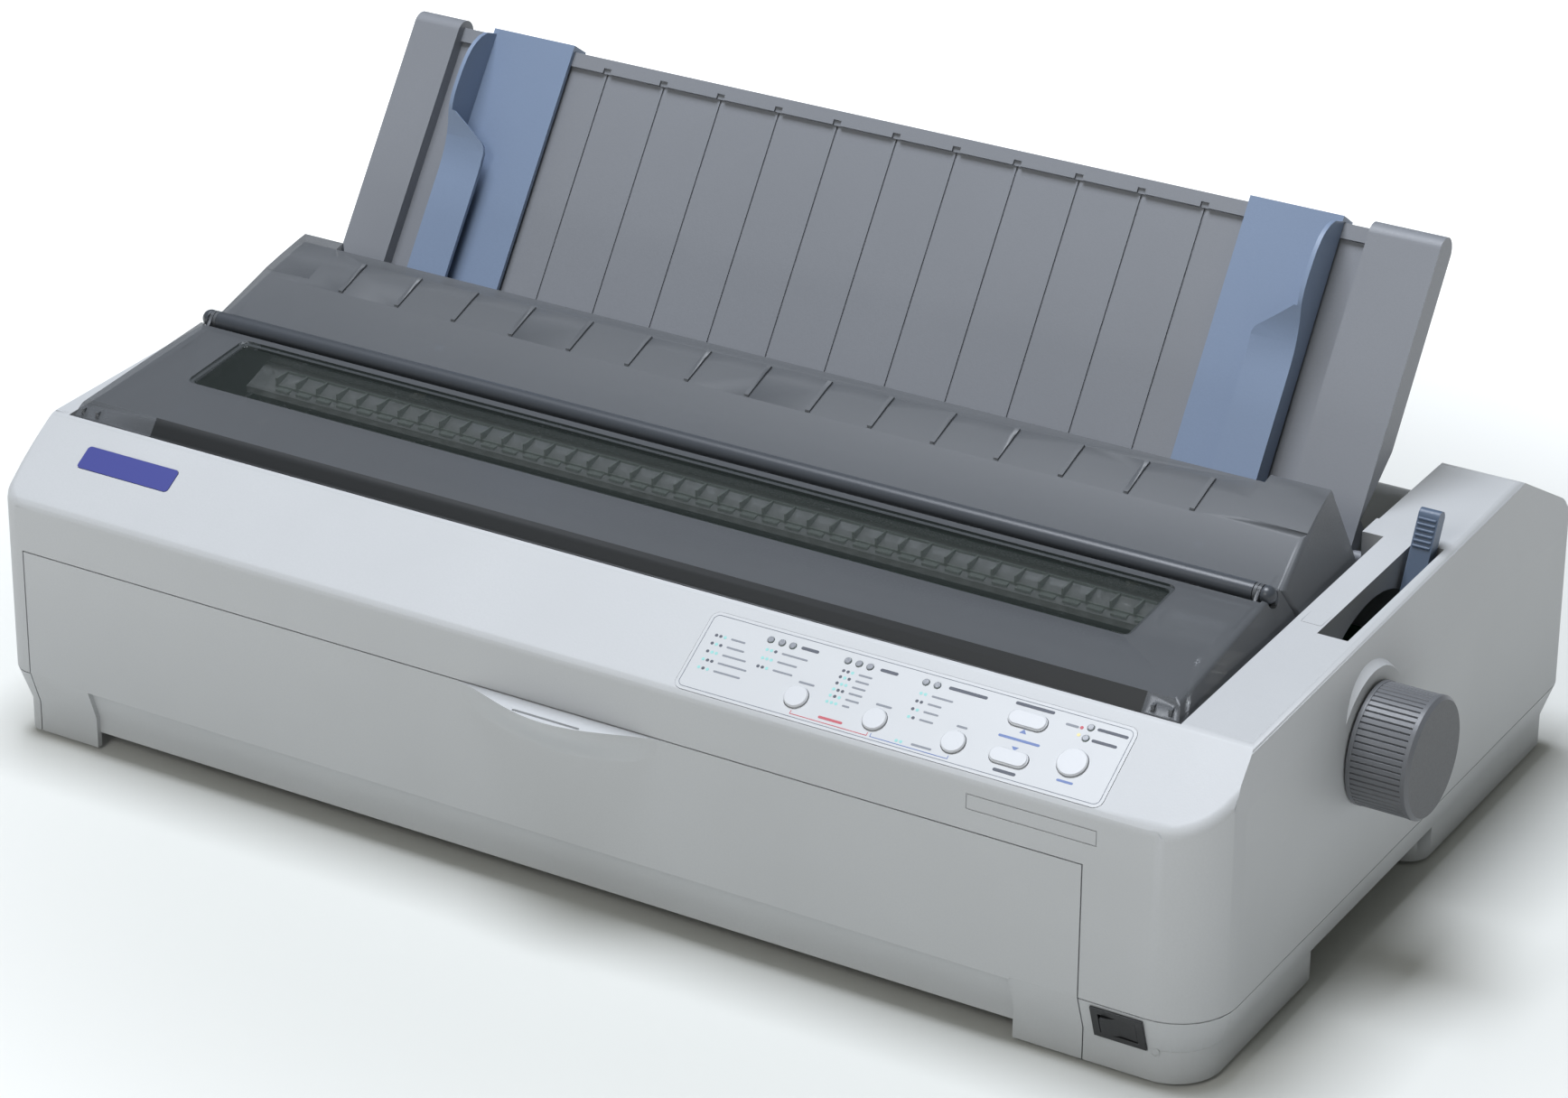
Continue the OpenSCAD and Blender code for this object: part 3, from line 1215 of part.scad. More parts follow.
module side_frame_right() color(steel) centred() {
    difference() {
        side_frame(frame_x1);
        rod_x(frame_x1 - 1, frame_x1 + frame_t + 1, pinion_yz, 5);
    }
    rod_x(frame_x1 + frame_t - e, gear_x + gear_w + 2, idler_yz, stud_r);
    rod_x(frame_x1 + frame_t - e, gear_x - seat, idler_yz, stud_r + 2);
    rod_x(frame_x1 + frame_t - e, lever_x + lever_w + 1, lever_yz, lever_stud);
    rod_x(frame_x1 + frame_t - e, lever_x - seat, lever_yz, lever_stud + 2);
}

module carriage_shaft() color(steel) centred()
    rod_x(frame_x0 - 9, frame_x1 + frame_t + 4, [shaft_y, shaft_z], guide_shaft_r);

// Carriage on its shaft, with a fork on the front rail and a clamp on the belt
module carriage() color(dark) centred() difference() {
    x0 = carriage_x - carriage_w / 2;
    x1 = carriage_x + carriage_w / 2;
    union() {
        along_x(x0, x1) rounded([[84, 61], [108, 61], [110, 80], [106, head_z], [88, head_z], [84, 80]],
            [4, 4, 3, 0, 0, 3]);
        along_x(x0 + 12, x1 - 12) polygon([[rail_y - 4, 90], [rail_y - 4, rail_z + 4], [90, rail_z + 4],
            [90, 84], [84, 84], [84, 90]]);
        along_x(carriage_x - 10, carriage_x + 10) polygon([[80, belt_z - 2], [86, belt_z - 2], [86, 66],
            [80, 66]]);
    }
    rod_x(x0 - 1, x1 + 1, [shaft_y, shaft_z], guide_shaft_r + run_gap - 0.01);
    along_x(x0, x1) translate([rail_y - seat, 80]) square([1.6 + 2 * seat, rail_z - 80 + seat]);
}

module print_head() color(dark) centred() {
    along_x(carriage_x - 19, carriage_x + 19) polygon([[90, head_z], [104, head_z], [104, 113], [90, 113]]);
    // cooling fins
    for (k = [0 : 6]) along_x(carriage_x - 17 + 5 * k - 1, carriage_x - 17 + 5 * k + 1)
        polygon([[103, 92], [112, 92], [112, 111], [103, 111]]);
    along_x(carriage_x - 18, carriage_x + 18) polygon([[103, 94], [113, 94], [113, 108], [103, 108]]);
    along_x(carriage_x - 9, carriage_x + 9) polygon([[112, 95], [nose_y - 4, 97.5], [nose_y, 98.5],
        [nose_y, 103.5], [nose_y - 4, 104.5], [112, 107]]);
}

module carriage_motor() color(steel) centred() difference() {
    union() {
        translate([pulley_x[1], belt_y, pan_z]) cylinder(h = 24, r = 19);
        translate([pulley_x[1] - 17, belt_y - 12.8, pan_z + 24 - e]) cube([34, 27, 2]);
    }
    translate([pulley_x[1], belt_y, pan_z + 10]) cylinder(h = 30, r = motor_shaft_r + run_gap);
}

module pulley(x) {
    translate([x, belt_y, belt_z - 0.2]) cylinder(h = belt_h + 0.4, r = pulley_r);
    for (z = [belt_z - 1.2, belt_z + belt_h + 0.2]) translate([x, belt_y, z]) cylinder(h = 1, r = pulley_r + 2);
}
module drive_pulley() color(steel) centred() {
    pulley(pulley_x[1]);
    translate([pulley_x[1], belt_y, pan_z + 11]) cylinder(h = belt_z + belt_h - pan_z - 8, r = motor_shaft_r);
}
module idler_pulley() color(off_white) centred() difference() {
    pulley(pulley_x[0]);
    translate([pulley_x[0], belt_y, belt_z - 5]) cylinder(h = 20, r = stud_r + run_gap);
}
module timing_belt() color(dark) centred() {
    span = pulley_x[1] - pulley_x[0];
    translate([pulley_x[0] + span / 2, belt_y, belt_z]) difference() {
        pill(span + 2 * (pulley_r + belt_t), 2 * (pulley_r + belt_t), belt_h);
        translate([0, 0, -1]) pill(span + 2 * (pulley_r + run_gap), 2 * (pulley_r + run_gap), belt_h + 2);
    }
}

// Full-width ribbon cartridge with two arms and the band between them
module ribbon_cartridge() color(dark) centred() difference() {
    union() {
        rounded_box(ribbon_x, ribbon_y, ribbon_z, 6);
        for (x = [ribbon_x[0], ribbon_x[1] - 13]) rounded_box([x, x + 13], [ribbon_y[0] + 8, nose_y + 1],
            [ribbon_z[0] - 10, ribbon_z[1] - 4], 3);
        block([ribbon_x[0] + 7, nose_y + 0.4, ribbon_z[0] - 9], [ribbon_x[1] - 7, nose_y + 0.7, ribbon_z[0] + 4]);
        // pegs that hang in the side frames
        rod_x(frame_x0 - 2, ribbon_x[0] + 1, [74, 106.2], 3);
        rod_x(ribbon_x[1] - 1, frame_x1 + frame_t + 2, [74, 106.2], 3);
    }
    translate([ribbon_knob_at[0], ribbon_knob_at[1], ribbon_z[1] - 5]) cylinder(h = 10, r = 3 + run_gap);
}
module rounded_box(x, y, z, r) {
    translate([0, 0, z[0]]) rounded_plate(x, y, r, z[1] - z[0]);
}
module ribbon_knob() color(off_white) centred() translate([ribbon_knob_at[0], ribbon_knob_at[1], 0]) {
    translate([0, 0, ribbon_z[1] - 4]) cylinder(h = 5, r = 3);
    translate([0, 0, ribbon_z[1] + seat]) linear_extrude(7)
        polygon([for (i = [0 : 17])
            each [turn([9, 0], 20 * i - 6), turn([9, 0], 20 * i + 6), turn([8.1, 0], 20 * i + 10)]]);
}

// Clear unit that presses the paper down behind the print line
module tension_unit() color(clear) centred() difference() {
    x0 = frame_x0 - 2;
    x1 = frame_x1 + frame_t + 2;
    union() {
        along_x(x0, x1) polygon([[tension_y[0], frame_top], [tension_y[0], frame_top + 3],
            [tension_y[1] - 6, frame_top + 9], [tension_y[1], frame_top + 9],
            [tension_y[1], frame_top + 7], [tension_y[1] - 6, frame_top + 7], [tension_y[0] + 4, frame_top + 1.8],
            [tension_y[0] + 4, frame_top]]);
        for (x = [frame_x0 + frame_t + seat, frame_x1 - seat - 3]) along_x(x, x + 3) polygon([
            [tension_y[0], frame_top + 1], [tension_yz[0] - 5, tension_yz[1] - 4],
            [tension_yz[0] + 5, tension_yz[1] - 4], [tension_y[1], frame_top + 8], [tension_y[0] + 2, frame_top + 3]]);
        for (x = [x0, x1 - 6]) along_x(x, x + 6) polygon([[tension_y[0], frame_top], [tension_y[1], frame_top],
            [tension_y[1], frame_top + 8], [tension_y[0], frame_top + 2]]);
        for (x = [frame_x0 + 20 : tension_pitch : frame_x1 - 16]) along_x(x, x + 1.6) polygon([
            [tension_y[0] + 2, frame_top + 1], [tension_y[1] - 2, frame_top + 1], [tension_y[1] - 2, frame_top + 8],
            [tension_y[1] - 6, frame_top + 8], [tension_y[0] + 2, frame_top + 3]]);
    }
    rod_x(x0, x1, tension_yz, 2 + run_gap);
}
module tension_roller() color(dark) centred() {
    rod_x(frame_x0 + frame_t + 1, frame_x1 - 1, tension_yz, 2);
    rod_x(frame_x0 + 12, frame_x1 - 12, tension_yz, tension_r);
}

// ---- electronics ----

module main_board() color(board_green) centred() {
    block([board_x[0], board_y[0], board_z], [board_x[1], board_y[1], board_z + board_t]);
    top = board_z + board_t - e;
    for (x = [40, 100, 160])
        block([board_x[0] + x, chip_y[0], top], [board_x[0] + x + 36, chip_y[1], top + 4]);
    for (x = [board_x[0] + 25, board_x[1] - 150])
        block([x, socket_y[0], top], [x + 60, socket_y[1], top + 9]);
    for (x = [70, 52]) translate([board_x[1] - x, capacitor_y, top]) cylinder(h = 20, r = 7);
}
module power_supply() color(steel) centred() difference() {
    block([supply_x[0], supply_y[0], pan_z], [supply_x[1], supply_y[1], 78]);
    for (i = [0 : 7]) block([supply_x[0] + 14 + 14 * i, supply_y[0] + 16, 76],
        [supply_x[0] + 20 + 14 * i, supply_y[1] - 16, 80]);
}

lower_case();
upper_case();
front_cover();
hood();
lid_frame();
lid_window();
lid_roller();
paper_guide();
edge_guide_left();
edge_guide_right();
control_overlay();
panel_board();
badge_plate();
select_button_left();
select_button_middle();
select_button_right();
load_button();
feed_button();
pause_button();
switch_bezel();
power_rocker();
platen_roller();
platen_shaft();
platen_knob();
platen_gear();
platen_bushings();
feed_gear();
motor_pinion();
feed_motor();
tractor_shaft();
tractor_rod();
tractor_left();
tractor_right();
pin_wheel_left();
pin_wheel_right();
tractor_door_left();
tractor_door_right();
tractor_lock_left();
tractor_lock_right();
release_lever();
thickness_lever();
base_frame();
side_frame_left();
side_frame_right();
carriage_shaft();
carriage();
print_head();
carriage_motor();
drive_pulley();
idler_pulley();
timing_belt();
ribbon_cartridge();
ribbon_knob();
tension_unit();
tension_roller();
main_board();
power_supply();
rear_connectors();
rubber_feet();
case_screws();
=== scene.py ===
"""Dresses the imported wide-carriage dot matrix printer: finishes, soft edges, panel prints and the studio."""

import json
import math

import bmesh
import bpy
from bpy.props import FloatProperty, FloatVectorProperty, PointerProperty
from mathutils import Matrix, Vector
from mathutils.bvhtree import BVHTree


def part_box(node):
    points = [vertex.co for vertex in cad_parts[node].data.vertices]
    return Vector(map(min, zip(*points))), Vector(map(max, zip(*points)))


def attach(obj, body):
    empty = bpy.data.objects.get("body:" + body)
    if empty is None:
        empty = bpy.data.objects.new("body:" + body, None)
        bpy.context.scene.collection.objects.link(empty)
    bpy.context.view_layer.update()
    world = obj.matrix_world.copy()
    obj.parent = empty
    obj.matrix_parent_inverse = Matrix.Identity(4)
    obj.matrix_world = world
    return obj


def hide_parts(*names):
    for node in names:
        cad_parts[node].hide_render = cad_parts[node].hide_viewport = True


bl_info = {
    "name": "Wide-carriage dot matrix printer",
    "version": (1, 0, 0),
    "blender": (4, 5, 0),
    "location": "View3D > Sidebar > Printer",
    "description": "Dresses the packed printer with its finishes, prints and studio",
    "category": "Object",
}

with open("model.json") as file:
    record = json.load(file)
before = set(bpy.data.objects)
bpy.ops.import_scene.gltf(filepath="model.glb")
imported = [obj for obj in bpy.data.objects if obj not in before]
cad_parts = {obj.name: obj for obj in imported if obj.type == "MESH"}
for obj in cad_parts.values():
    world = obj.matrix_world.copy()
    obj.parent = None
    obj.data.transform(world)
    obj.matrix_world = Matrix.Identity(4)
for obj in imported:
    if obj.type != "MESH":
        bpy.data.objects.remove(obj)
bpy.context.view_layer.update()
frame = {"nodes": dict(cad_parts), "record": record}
SLOT_OF = {row["node"]: row["material_slot"] for row in frame["record"]["subparts"]}
BODY_OF = {node: body for body, nodes in frame["record"]["behaviour"]["bodies"].items() for node in nodes}
MM = 0.001

# Case coordinates: x from the case's left side, y from the fascia, z from the table
CASE_LEFT, CASE_FRONT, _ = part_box("upper_case")[0]
FASCIA_TOP = 120.5
SLOPE_RISE, SLOPE_RUN = 25.5, 42.5
SLOPE_ANGLE = math.atan2(SLOPE_RISE, SLOPE_RUN)
# Heights off the slope: the panel film's face and the ink that lies on it
OVERLAY_TOP = 0.15
INK_HEIGHT = 0.06


def case_point(x, y, z):
    """A point given in millimetres from the case's left side, its fascia and the table."""
    return Vector((CASE_LEFT + x * MM, CASE_FRONT + y * MM, z * MM))


def slope_place():
    """Where the control slope lies: x along it, y up it and z off its surface, in metres."""
    return Matrix.Translation(case_point(0, 0, FASCIA_TOP)) @ Matrix.Rotation(SLOPE_ANGLE, 4, "X")


# ---- sizes and colours that a user would change ----


def colour(name, description, hex_value):
    return FloatVectorProperty(
        name=name, description=description, subtype="COLOR", size=3, min=0, max=1, default=linear(hex_value)[:3]
    )


def length(name, description, millimetres):
    return FloatProperty(name=name, description=description, unit="LENGTH", min=0, default=millimetres * MM)


def linear(hex_value):
    """An sRGB hex colour as linear red, green, blue and alpha."""
    parts = [int(hex_value[i : i + 2], 16) / 255 for i in (1, 3, 5)]
    return (*[p / 12.92 if p <= 0.04045 else ((p + 0.055) / 1.055) ** 2.4 for p in parts], 1.0)


class CaseFinish(bpy.types.PropertyGroup):
    """Moulded case"""

    shade: colour("Case", "Colour of the moulded case", "#BCBEC0")
    edge: length("Edge radius", "Radius that the mould leaves on the case's edges", 0.7)
    grain: length("Grain", "Size of the spark-eroded grain", 0.9)


class CoverFinish(bpy.types.PropertyGroup):
    """Smoked covers"""

    shade: colour("Smoke", "Colour of the smoked covers", "#64676B")
    lid_opacity: FloatProperty(name="Lid opacity", description="Opacity of one face of the lid", default=0.64)
    hood_opacity: FloatProperty(name="Hood opacity", description="Opacity of one face of the hood", default=0.76)
    window_opacity: FloatProperty(name="Window opacity", description="Opacity of one window face", default=0.2)
    window: colour("Window", "Colour of the clear window", "#3C4442")
    corner: length("Corner radius", "Radius on the covers' outer corners", 2.6)
    edge: length("Edge radius", "Radius on the covers' other edges", 0.5)


class GuideFinish(bpy.types.PropertyGroup):
    """Paper guide and its sliding edge guides"""

    shade: colour("Guide", "Colour of the paper guide", "#7F8288")
    blue: colour("Edge guides", "Colour of the sliding edge guides", "#7A8AA3")
    edge: length("Edge radius", "Radius on the guides' edges", 0.6)


class PanelFinish(bpy.types.PropertyGroup):
    """Control panel"""

    film: colour("Film", "Colour of the printed film", "#BFC1C3")
    button: colour("Buttons", "Colour of the buttons", "#C4C6C9")
    badge: colour("Badge", "Colour of the bare badge plate", "#464B8E")


class StudioSettings(bpy.types.PropertyGroup):
    """Floor and light"""

    # The floor's colour close to the printer, darker than the far floor as painted shade
    floor: colour("Floor", "Colour of the pale floor under the printer", "#D6D7D3")
    key_power: FloatProperty(name="Key light", description="Power of the overhead softbox", unit="POWER", default=96)
    fill_power: FloatProperty(name="Fill light", description="Power of the front softbox", unit="POWER", default=17)
    sky: FloatProperty(name="Surroundings", description="Strength of the even surrounding light", default=0.15)


# ---- materials ----

# Size of the faint clouds in a moulded part's colour, in metres
CLOUD_SIZE = 60 * MM


def add(tree, kind, inputs=None, **settings):
    """Adds one node with its settings, its values and its links."""
    made = tree.nodes.new(kind)
    for name, value in settings.items():
        setattr(made, name, value)
    for name, value in (inputs or {}).items():
        socket = made.inputs[name]
        if isinstance(value, bpy.types.NodeSocket):
            tree.links.new(value, socket)
        else:
            socket.default_value = value
    return made


def new_material(name):
    """An empty material and its Object coordinates."""
    made = bpy.data.materials.new(name)
    made.use_nodes = True
    made.node_tree.nodes.clear()
    place = add(made.node_tree, "ShaderNodeTexCoord").outputs["Object"]
    return made, made.node_tree, place


def close(tree, shader):
    """Sends the shader to the output."""
    add(tree, "ShaderNodeOutputMaterial", {"Surface": shader.outputs["BSDF"]})


def shades(tree, factor, darker, lighter):
    """A ramp between two close shades of one colour."""
    ramp = add(tree, "ShaderNodeValToRGB", {"Fac": factor})
    ramp.color_ramp.elements[0].position = 0.3
    ramp.color_ramp.elements[1].position = 0.7
    ramp.color_ramp.elements[0].color = darker
    ramp.color_ramp.elements[1].color = lighter
    return ramp.outputs["Color"]


def scaled(shade, share):
    """A linear colour made darker or lighter."""
    return (*[min(1.0, c * share) for c in shade[:3]], 1.0)


def moulded(name, shade, rough, grain, depth, mottle=0.035, vary=0.05, **constants):
    """Injection-moulded plastic from a spark-eroded mould.

    Its fine pebbled grain breaks up the gloss, and its colour is very slightly cloudy. Sizes are in
    metres, mottle is the share by which the colour varies and vary the same for the roughness.
    """
    made, tree, place = new_material(name)
    cloud = add(tree, "ShaderNodeTexNoise", {"Vector": place, "Scale": 1 / CLOUD_SIZE, "Detail": 3.0})
    speck = add(tree, "ShaderNodeTexNoise", {"Vector": place, "Scale": 1 / grain, "Detail": 2.0, "Roughness": 0.6})
    mixed = add(
        tree,
        "ShaderNodeMath",
        {0: cloud.outputs["Fac"], 1: speck.outputs["Fac"], 2: 0.25},
        operation="MULTIPLY_ADD",
    )
    tint = shades(tree, mixed.outputs[0], scaled(shade, 1 - mottle), scaled(shade, 1 + mottle))
    gloss = add(
        tree,
        "ShaderNodeMapRange",
        {
            "Value": speck.outputs["Fac"],
            "From Min": 0.3,
            "From Max": 0.7,
            "To Min": rough - vary,
            "To Max": rough + vary,
        },
    )
    relief = add(tree, "ShaderNodeBump", {"Height": speck.outputs["Fac"], "Strength": 0.5, "Distance": depth})
    shader = add(
        tree,
        "ShaderNodeBsdfPrincipled",
        {
            "Base Color": tint,
            "Roughness": gloss.outputs["Result"],
            "Normal": relief.outputs["Normal"],
            "IOR": 1.53,
            **constants,
        },
    )
    close(tree, shader)
    return made


def window_plastic(name, shade, opacity):
    """Polished smoked polycarbonate: glassy, with faint scuffs and dust specks."""
    made, tree, place = new_material(name)
    dust = add(tree, "ShaderNodeTexNoise", {"Vector": place, "Scale": 1 / (1.2 * MM), "Detail": 2.0})
    specks = add(
        tree,
        "ShaderNodeMapRange",
        {"Value": dust.outputs["Fac"], "From Min": 0.68, "From Max": 0.74, "To Min": 0.0, "To Max": 1.0},
    )
    tint = add(
        tree,
        "ShaderNodeMix",
        {"Factor": specks.outputs["Result"], "A": shade, "B": linear("#9A9EA0")},
        data_type="RGBA",
    )
    shader = add(
        tree,
        "ShaderNodeBsdfPrincipled",
        {"Base Color": tint.outputs["Result"], "Roughness": 0.12, "IOR": 1.58, "Alpha": opacity},
    )
    close(tree, shader)
    return made


def plated_steel(name):
    """Zinc-plated sheet steel: a cool bright metal with fine rolling lines and cloudy plating."""
    made, tree, place = new_material(name)
    stretched = add(tree, "ShaderNodeMapping", {"Vector": place, "Scale": (20.0, 1.0, 1.0)})
    lines = add(tree, "ShaderNodeTexNoise", {"Vector": stretched.outputs["Vector"], "Scale": 90.0, "Detail": 4.0})
    plating = add(tree, "ShaderNodeTexVoronoi", {"Vector": place, "Scale": 1 / (7 * MM)})
    tint = shades(tree, plating.outputs["Distance"], linear("#A9ABAE"), linear("#C4C6C8"))
    gloss = add(
        tree,
        "ShaderNodeMapRange",
        {"Value": lines.outputs["Fac"], "From Min": 0.3, "From Max": 0.7, "To Min": 0.26, "To Max": 0.42},
    )
    shader = add(
        tree,
        "ShaderNodeBsdfPrincipled",
        {"Base Color": tint, "Roughness": gloss.outputs["Result"], "Metallic": 1.0},
    )
    close(tree, shader)
    return made


def ground_rubber(name, hex_value):
    """Ground nitrile rubber: black, matte, with fine grinding marks round the roller."""
    made, tree, place = new_material(name)
    marks = add(tree, "ShaderNodeTexNoise", {"Vector": place, "Scale": 1 / (0.8 * MM), "Detail": 3.0})
    tint = shades(tree, marks.outputs["Fac"], linear(hex_value), scaled(linear(hex_value), 1.12))
    relief = add(tree, "ShaderNodeBump", {"Height": marks.outputs["Fac"], "Strength": 0.4, "Distance": 0.01 * MM})
    shader = add(
        tree,
        "ShaderNodeBsdfPrincipled",
        {"Base Color": tint, "Roughness": 0.75, "Normal": relief.outputs["Normal"], "IOR": 1.52},
    )
    close(tree, shader)
    return made


def circuit_board(name):
    """Glass-epoxy board under green solder mask, with paler copper areas beneath."""
    made, tree, place = new_material(name)
    shade_of = {"Color1": (0, 0, 0, 1), "Color2": (0.5, 0.5, 0.5, 1), "Mortar": (1, 1, 1, 1)}
    tracks = add(tree, "ShaderNodeTexBrick", {"Vector": place, "Scale": 1 / (40 * MM), **shade_of})
    tint = shades(tree, tracks.outputs["Color"], linear("#1F4A30"), linear("#2F6544"))
    shader = add(tree, "ShaderNodeBsdfPrincipled", {"Base Color": tint, "Roughness": 0.35})
    close(tree, shader)
    return made


def printing_ink(name, hex_value):
    """Screen-printed ink: flat and slightly uneven where the mesh laid it down."""
    made, tree, place = new_material(name)
    mesh_marks = add(tree, "ShaderNodeTexNoise", {"Vector": place, "Scale": 1 / (0.4 * MM)})
    tint = shades(tree, mesh_marks.outputs["Fac"], linear(hex_value), scaled(linear(hex_value), 1.18))
    shader = add(tree, "ShaderNodeBsdfPrincipled", {"Base Color": tint, "Roughness": 0.55})
    close(tree, shader)
    return made


def finishes(scene):
    """One material for each of the record's slots."""
    case, cover, guide, panel = (scene.printer_case, scene.printer_cover, scene.printer_guide, scene.printer_panel)

    def rgba(value):
        return (*value, 1.0)

    return {
        "case_plastic": moulded("moulded_grey_abs", rgba(case.shade), 0.5, case.grain, 0.05 * MM),
        "smoke_plastic": moulded(
            "smoked_polycarbonate", rgba(cover.shade), 0.42, 0.8 * MM, 0.05 * MM, Alpha=cover.hood_opacity
        ),
        "smoke_window": window_plastic("polished_smoked_polycarbonate", rgba(cover.window), cover.window_opacity),
        "guide_plastic": moulded("moulded_dark_abs", rgba(guide.shade), 0.5, 0.9 * MM, 0.06 * MM),
        "guide_blue_plastic": moulded("moulded_blue_abs", rgba(guide.blue), 0.46, 0.9 * MM, 0.05 * MM),
        "lever_plastic": moulded("moulded_blue_acetal", linear("#4E5E74"), 0.42, 0.9 * MM, 0.04 * MM),
        "overlay_film": moulded("printed_polyester_film", rgba(panel.film), 0.4, 0.7 * MM, 0.02 * MM, mottle=0.012),
        "button_plastic": moulded("moulded_white_abs", rgba(panel.button), 0.36, 0.8 * MM, 0.01 * MM, mottle=0.01),
        "black_plastic": moulded("moulded_black_abs", linear("#232427"), 0.45, 0.8 * MM, 0.04 * MM),
        "knob_plastic": moulded("moulded_charcoal_abs", linear("#65676B"), 0.42, 0.8 * MM, 0.03 * MM),
        "gear_plastic": moulded("natural_acetal", linear("#D9D4C6"), 0.35, 1.1 * MM, 0.01 * MM),
        "clear_plastic": moulded("clear_polycarbonate", linear("#B9BDBE"), 0.15, 1.1 * MM, 0.01 * MM, Alpha=0.45),
        "badge_finish": moulded(
            "enamelled_plate", rgba(panel.badge), 0.3, 3.0 * MM, 0.0002 * MM, mottle=0.004, vary=0.004
        ),
        "platen_rubber": ground_rubber("ground_platen_rubber", "#2A2B2D"),
        "foot_rubber": ground_rubber("moulded_foot_rubber", "#35363A"),
        "steel": plated_steel("zinc_plated_steel"),
        "board": circuit_board("green_solder_mask"),
    }


# ---- meshes ----


def finish_piece(name, bm, body, materials, sharp=40.0):
    """Turns a bmesh into a smooth-shaded piece that rides on its body."""
    for face in bm.faces:
        face.smooth = True
    mesh = bpy.data.meshes.new(name)
    bm.to_mesh(mesh)
    bm.free()
    mesh.set_sharp_from_angle(angle=math.radians(sharp))
    for material in materials:
        mesh.materials.append(material)
    piece = bpy.data.objects.new(name, mesh)
    bpy.context.scene.collection.objects.link(piece)
    even = piece.modifiers.new("even_shading", "WEIGHTED_NORMAL")
    even.keep_sharp = True
    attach(piece, body)
    return piece


def merged_copy(node):
    """A CAD node's triangles as one joined mesh with whole flat faces."""
    bm = bmesh.new()
    bm.from_mesh(frame["nodes"][node].data)
    bmesh.ops.remove_doubles(bm, verts=bm.verts, dist=0.004 * MM)
    bmesh.ops.dissolve_limit(
        bm, angle_limit=math.radians(0.15), use_dissolve_boundaries=False, verts=bm.verts, edges=bm.edges
    )
    return bm


def soften(bm, radius, least_angle=28.0, least_length=None):
    """Rounds the sharp edges that are long enough to take the radius."""
    least = least_length or 2.5 * radius
    edges = [
        edge
        for edge in bm.edges
        if len(edge.link_faces) == 2
        and edge.calc_length() > least
        and edge.calc_face_angle() > math.radians(least_angle)
    ]
    bmesh.ops.bevel(
        bm,
        geom=edges,
        offset=radius,
        offset_type="OFFSET",
        affect="EDGES",
        segments=3,
        profile=0.5,
        material=-1,
        clamp_overlap=True,
        loop_slide=True,
    )


def round_corners_of(bm, radius):
    """Rounds the long outer corners between wide faces, such as a cover's top and cheek."""
    corners = [
        edge
        for edge in bm.edges
        if len(edge.link_faces) == 2
        and edge.is_convex
        and edge.calc_length() > 5 * radius
        and edge.calc_face_angle() > math.radians(12)
        and all(face.calc_area() / edge.calc_length() > 2.4 * radius for face in edge.link_faces)
    ]
    bmesh.ops.bevel(
        bm,
        geom=corners,
        offset=radius,
        offset_type="OFFSET",
        affect="EDGES",
        segments=4,
        profile=0.5,
        material=-1,
        clamp_overlap=False,
        loop_slide=True,
    )


# The crease runs this far back from the fascia, and this far out from the case's middle, in metres
CREASE_BACK = 20 * MM
CREASE_OUT = 280 * MM


def blend_front_corners(bm, radius):
    """Rounds the curved crease where the control slope runs round into the sides."""
    low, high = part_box("upper_case")
    middle = (low[0] + high[0]) / 2

    def leans_out(face, side):
        return side * face.normal.x > 0.2 and abs(face.normal.z) < 0.1

    def slopes(face):
        return abs(face.normal.x) < 0.02 and face.normal.z > 0.3 and face.normal.y < -0.3

    creases = []
    for edge in bm.edges:
        if len(edge.link_faces) != 2 or not edge.is_convex or edge.calc_face_angle() < math.radians(20):
            continue
        side = 1 if edge.verts[0].co.x > middle else -1
        one, other = edge.link_faces
        near_front = all(
            v.co.y < low[1] + CREASE_BACK and abs(v.co.x - middle) > CREASE_OUT for v in edge.verts
        )
        if near_front and (leans_out(one, side) and slopes(other) or leans_out(other, side) and slopes(one)):
            creases.append(edge)
    bmesh.ops.bevel(
        bm,
        geom=creases,
        offset=radius,
        offset_type="OFFSET",
        affect="EDGES",
        segments=4,
        profile=0.5,
        material=-1,
        clamp_overlap=False,
        loop_slide=True,
    )


def dress(node, made, radius, corner=0, blend=0, painted_shade=None, **options):
    """Stands a soft-edged copy in place of a CAD node.

    radius rounds its edges, corner its long outer corners and blend the case's front creases. The second
    finish, when given, is a darker material that paints shade on chosen faces: the copy is cut across at each x in
    cuts, and picks names its faces.
    """
    bm = merged_copy(node)
    if painted_shade:
        for x in painted_shade.get("cuts", ()):
            bmesh.ops.bisect_plane(
                bm, geom=[*bm.verts, *bm.edges, *bm.faces], dist=0.001 * MM, plane_co=(x, 0, 0), plane_no=(1, 0, 0)
            )
        for face in bm.faces:
            face.material_index = int(painted_shade["picks"](face))
    if blend:
        blend_front_corners(bm, blend)
    if corner:
        round_corners_of(bm, corner)
    if radius:
        soften(bm, radius, **options)
    materials = [made[SLOT_OF[node]]] + ([painted_shade["finish"]] if painted_shade else [])
    piece = finish_piece(node + "_dressed", bm, BODY_OF[node], materials)
    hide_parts(node)
    return piece


def surface_at(node, start, towards):
    """Where a line from a point meets a CAD node, which puts a mark on what carries it."""
    bm = bmesh.new()
    bm.from_mesh(frame["nodes"][node].data)
    hit = BVHTree.FromBMesh(bm).ray_cast(start, Vector(towards))[0]
    bm.free()
    if hit is None:
        raise RuntimeError("no surface of " + node + " there")
    return hit


def paint(node, made):
    """Gives a CAD node that stays its slot's finish."""
    target = frame["nodes"][node]
    target.data.materials.clear()
    target.data.materials.append(made[SLOT_OF[node]])


# ---- operators ----

FINISH = {}


def finish_set():
    """The materials, made once a run."""
    if not FINISH:
        FINISH.update(finishes(bpy.context.scene))
    return FINISH


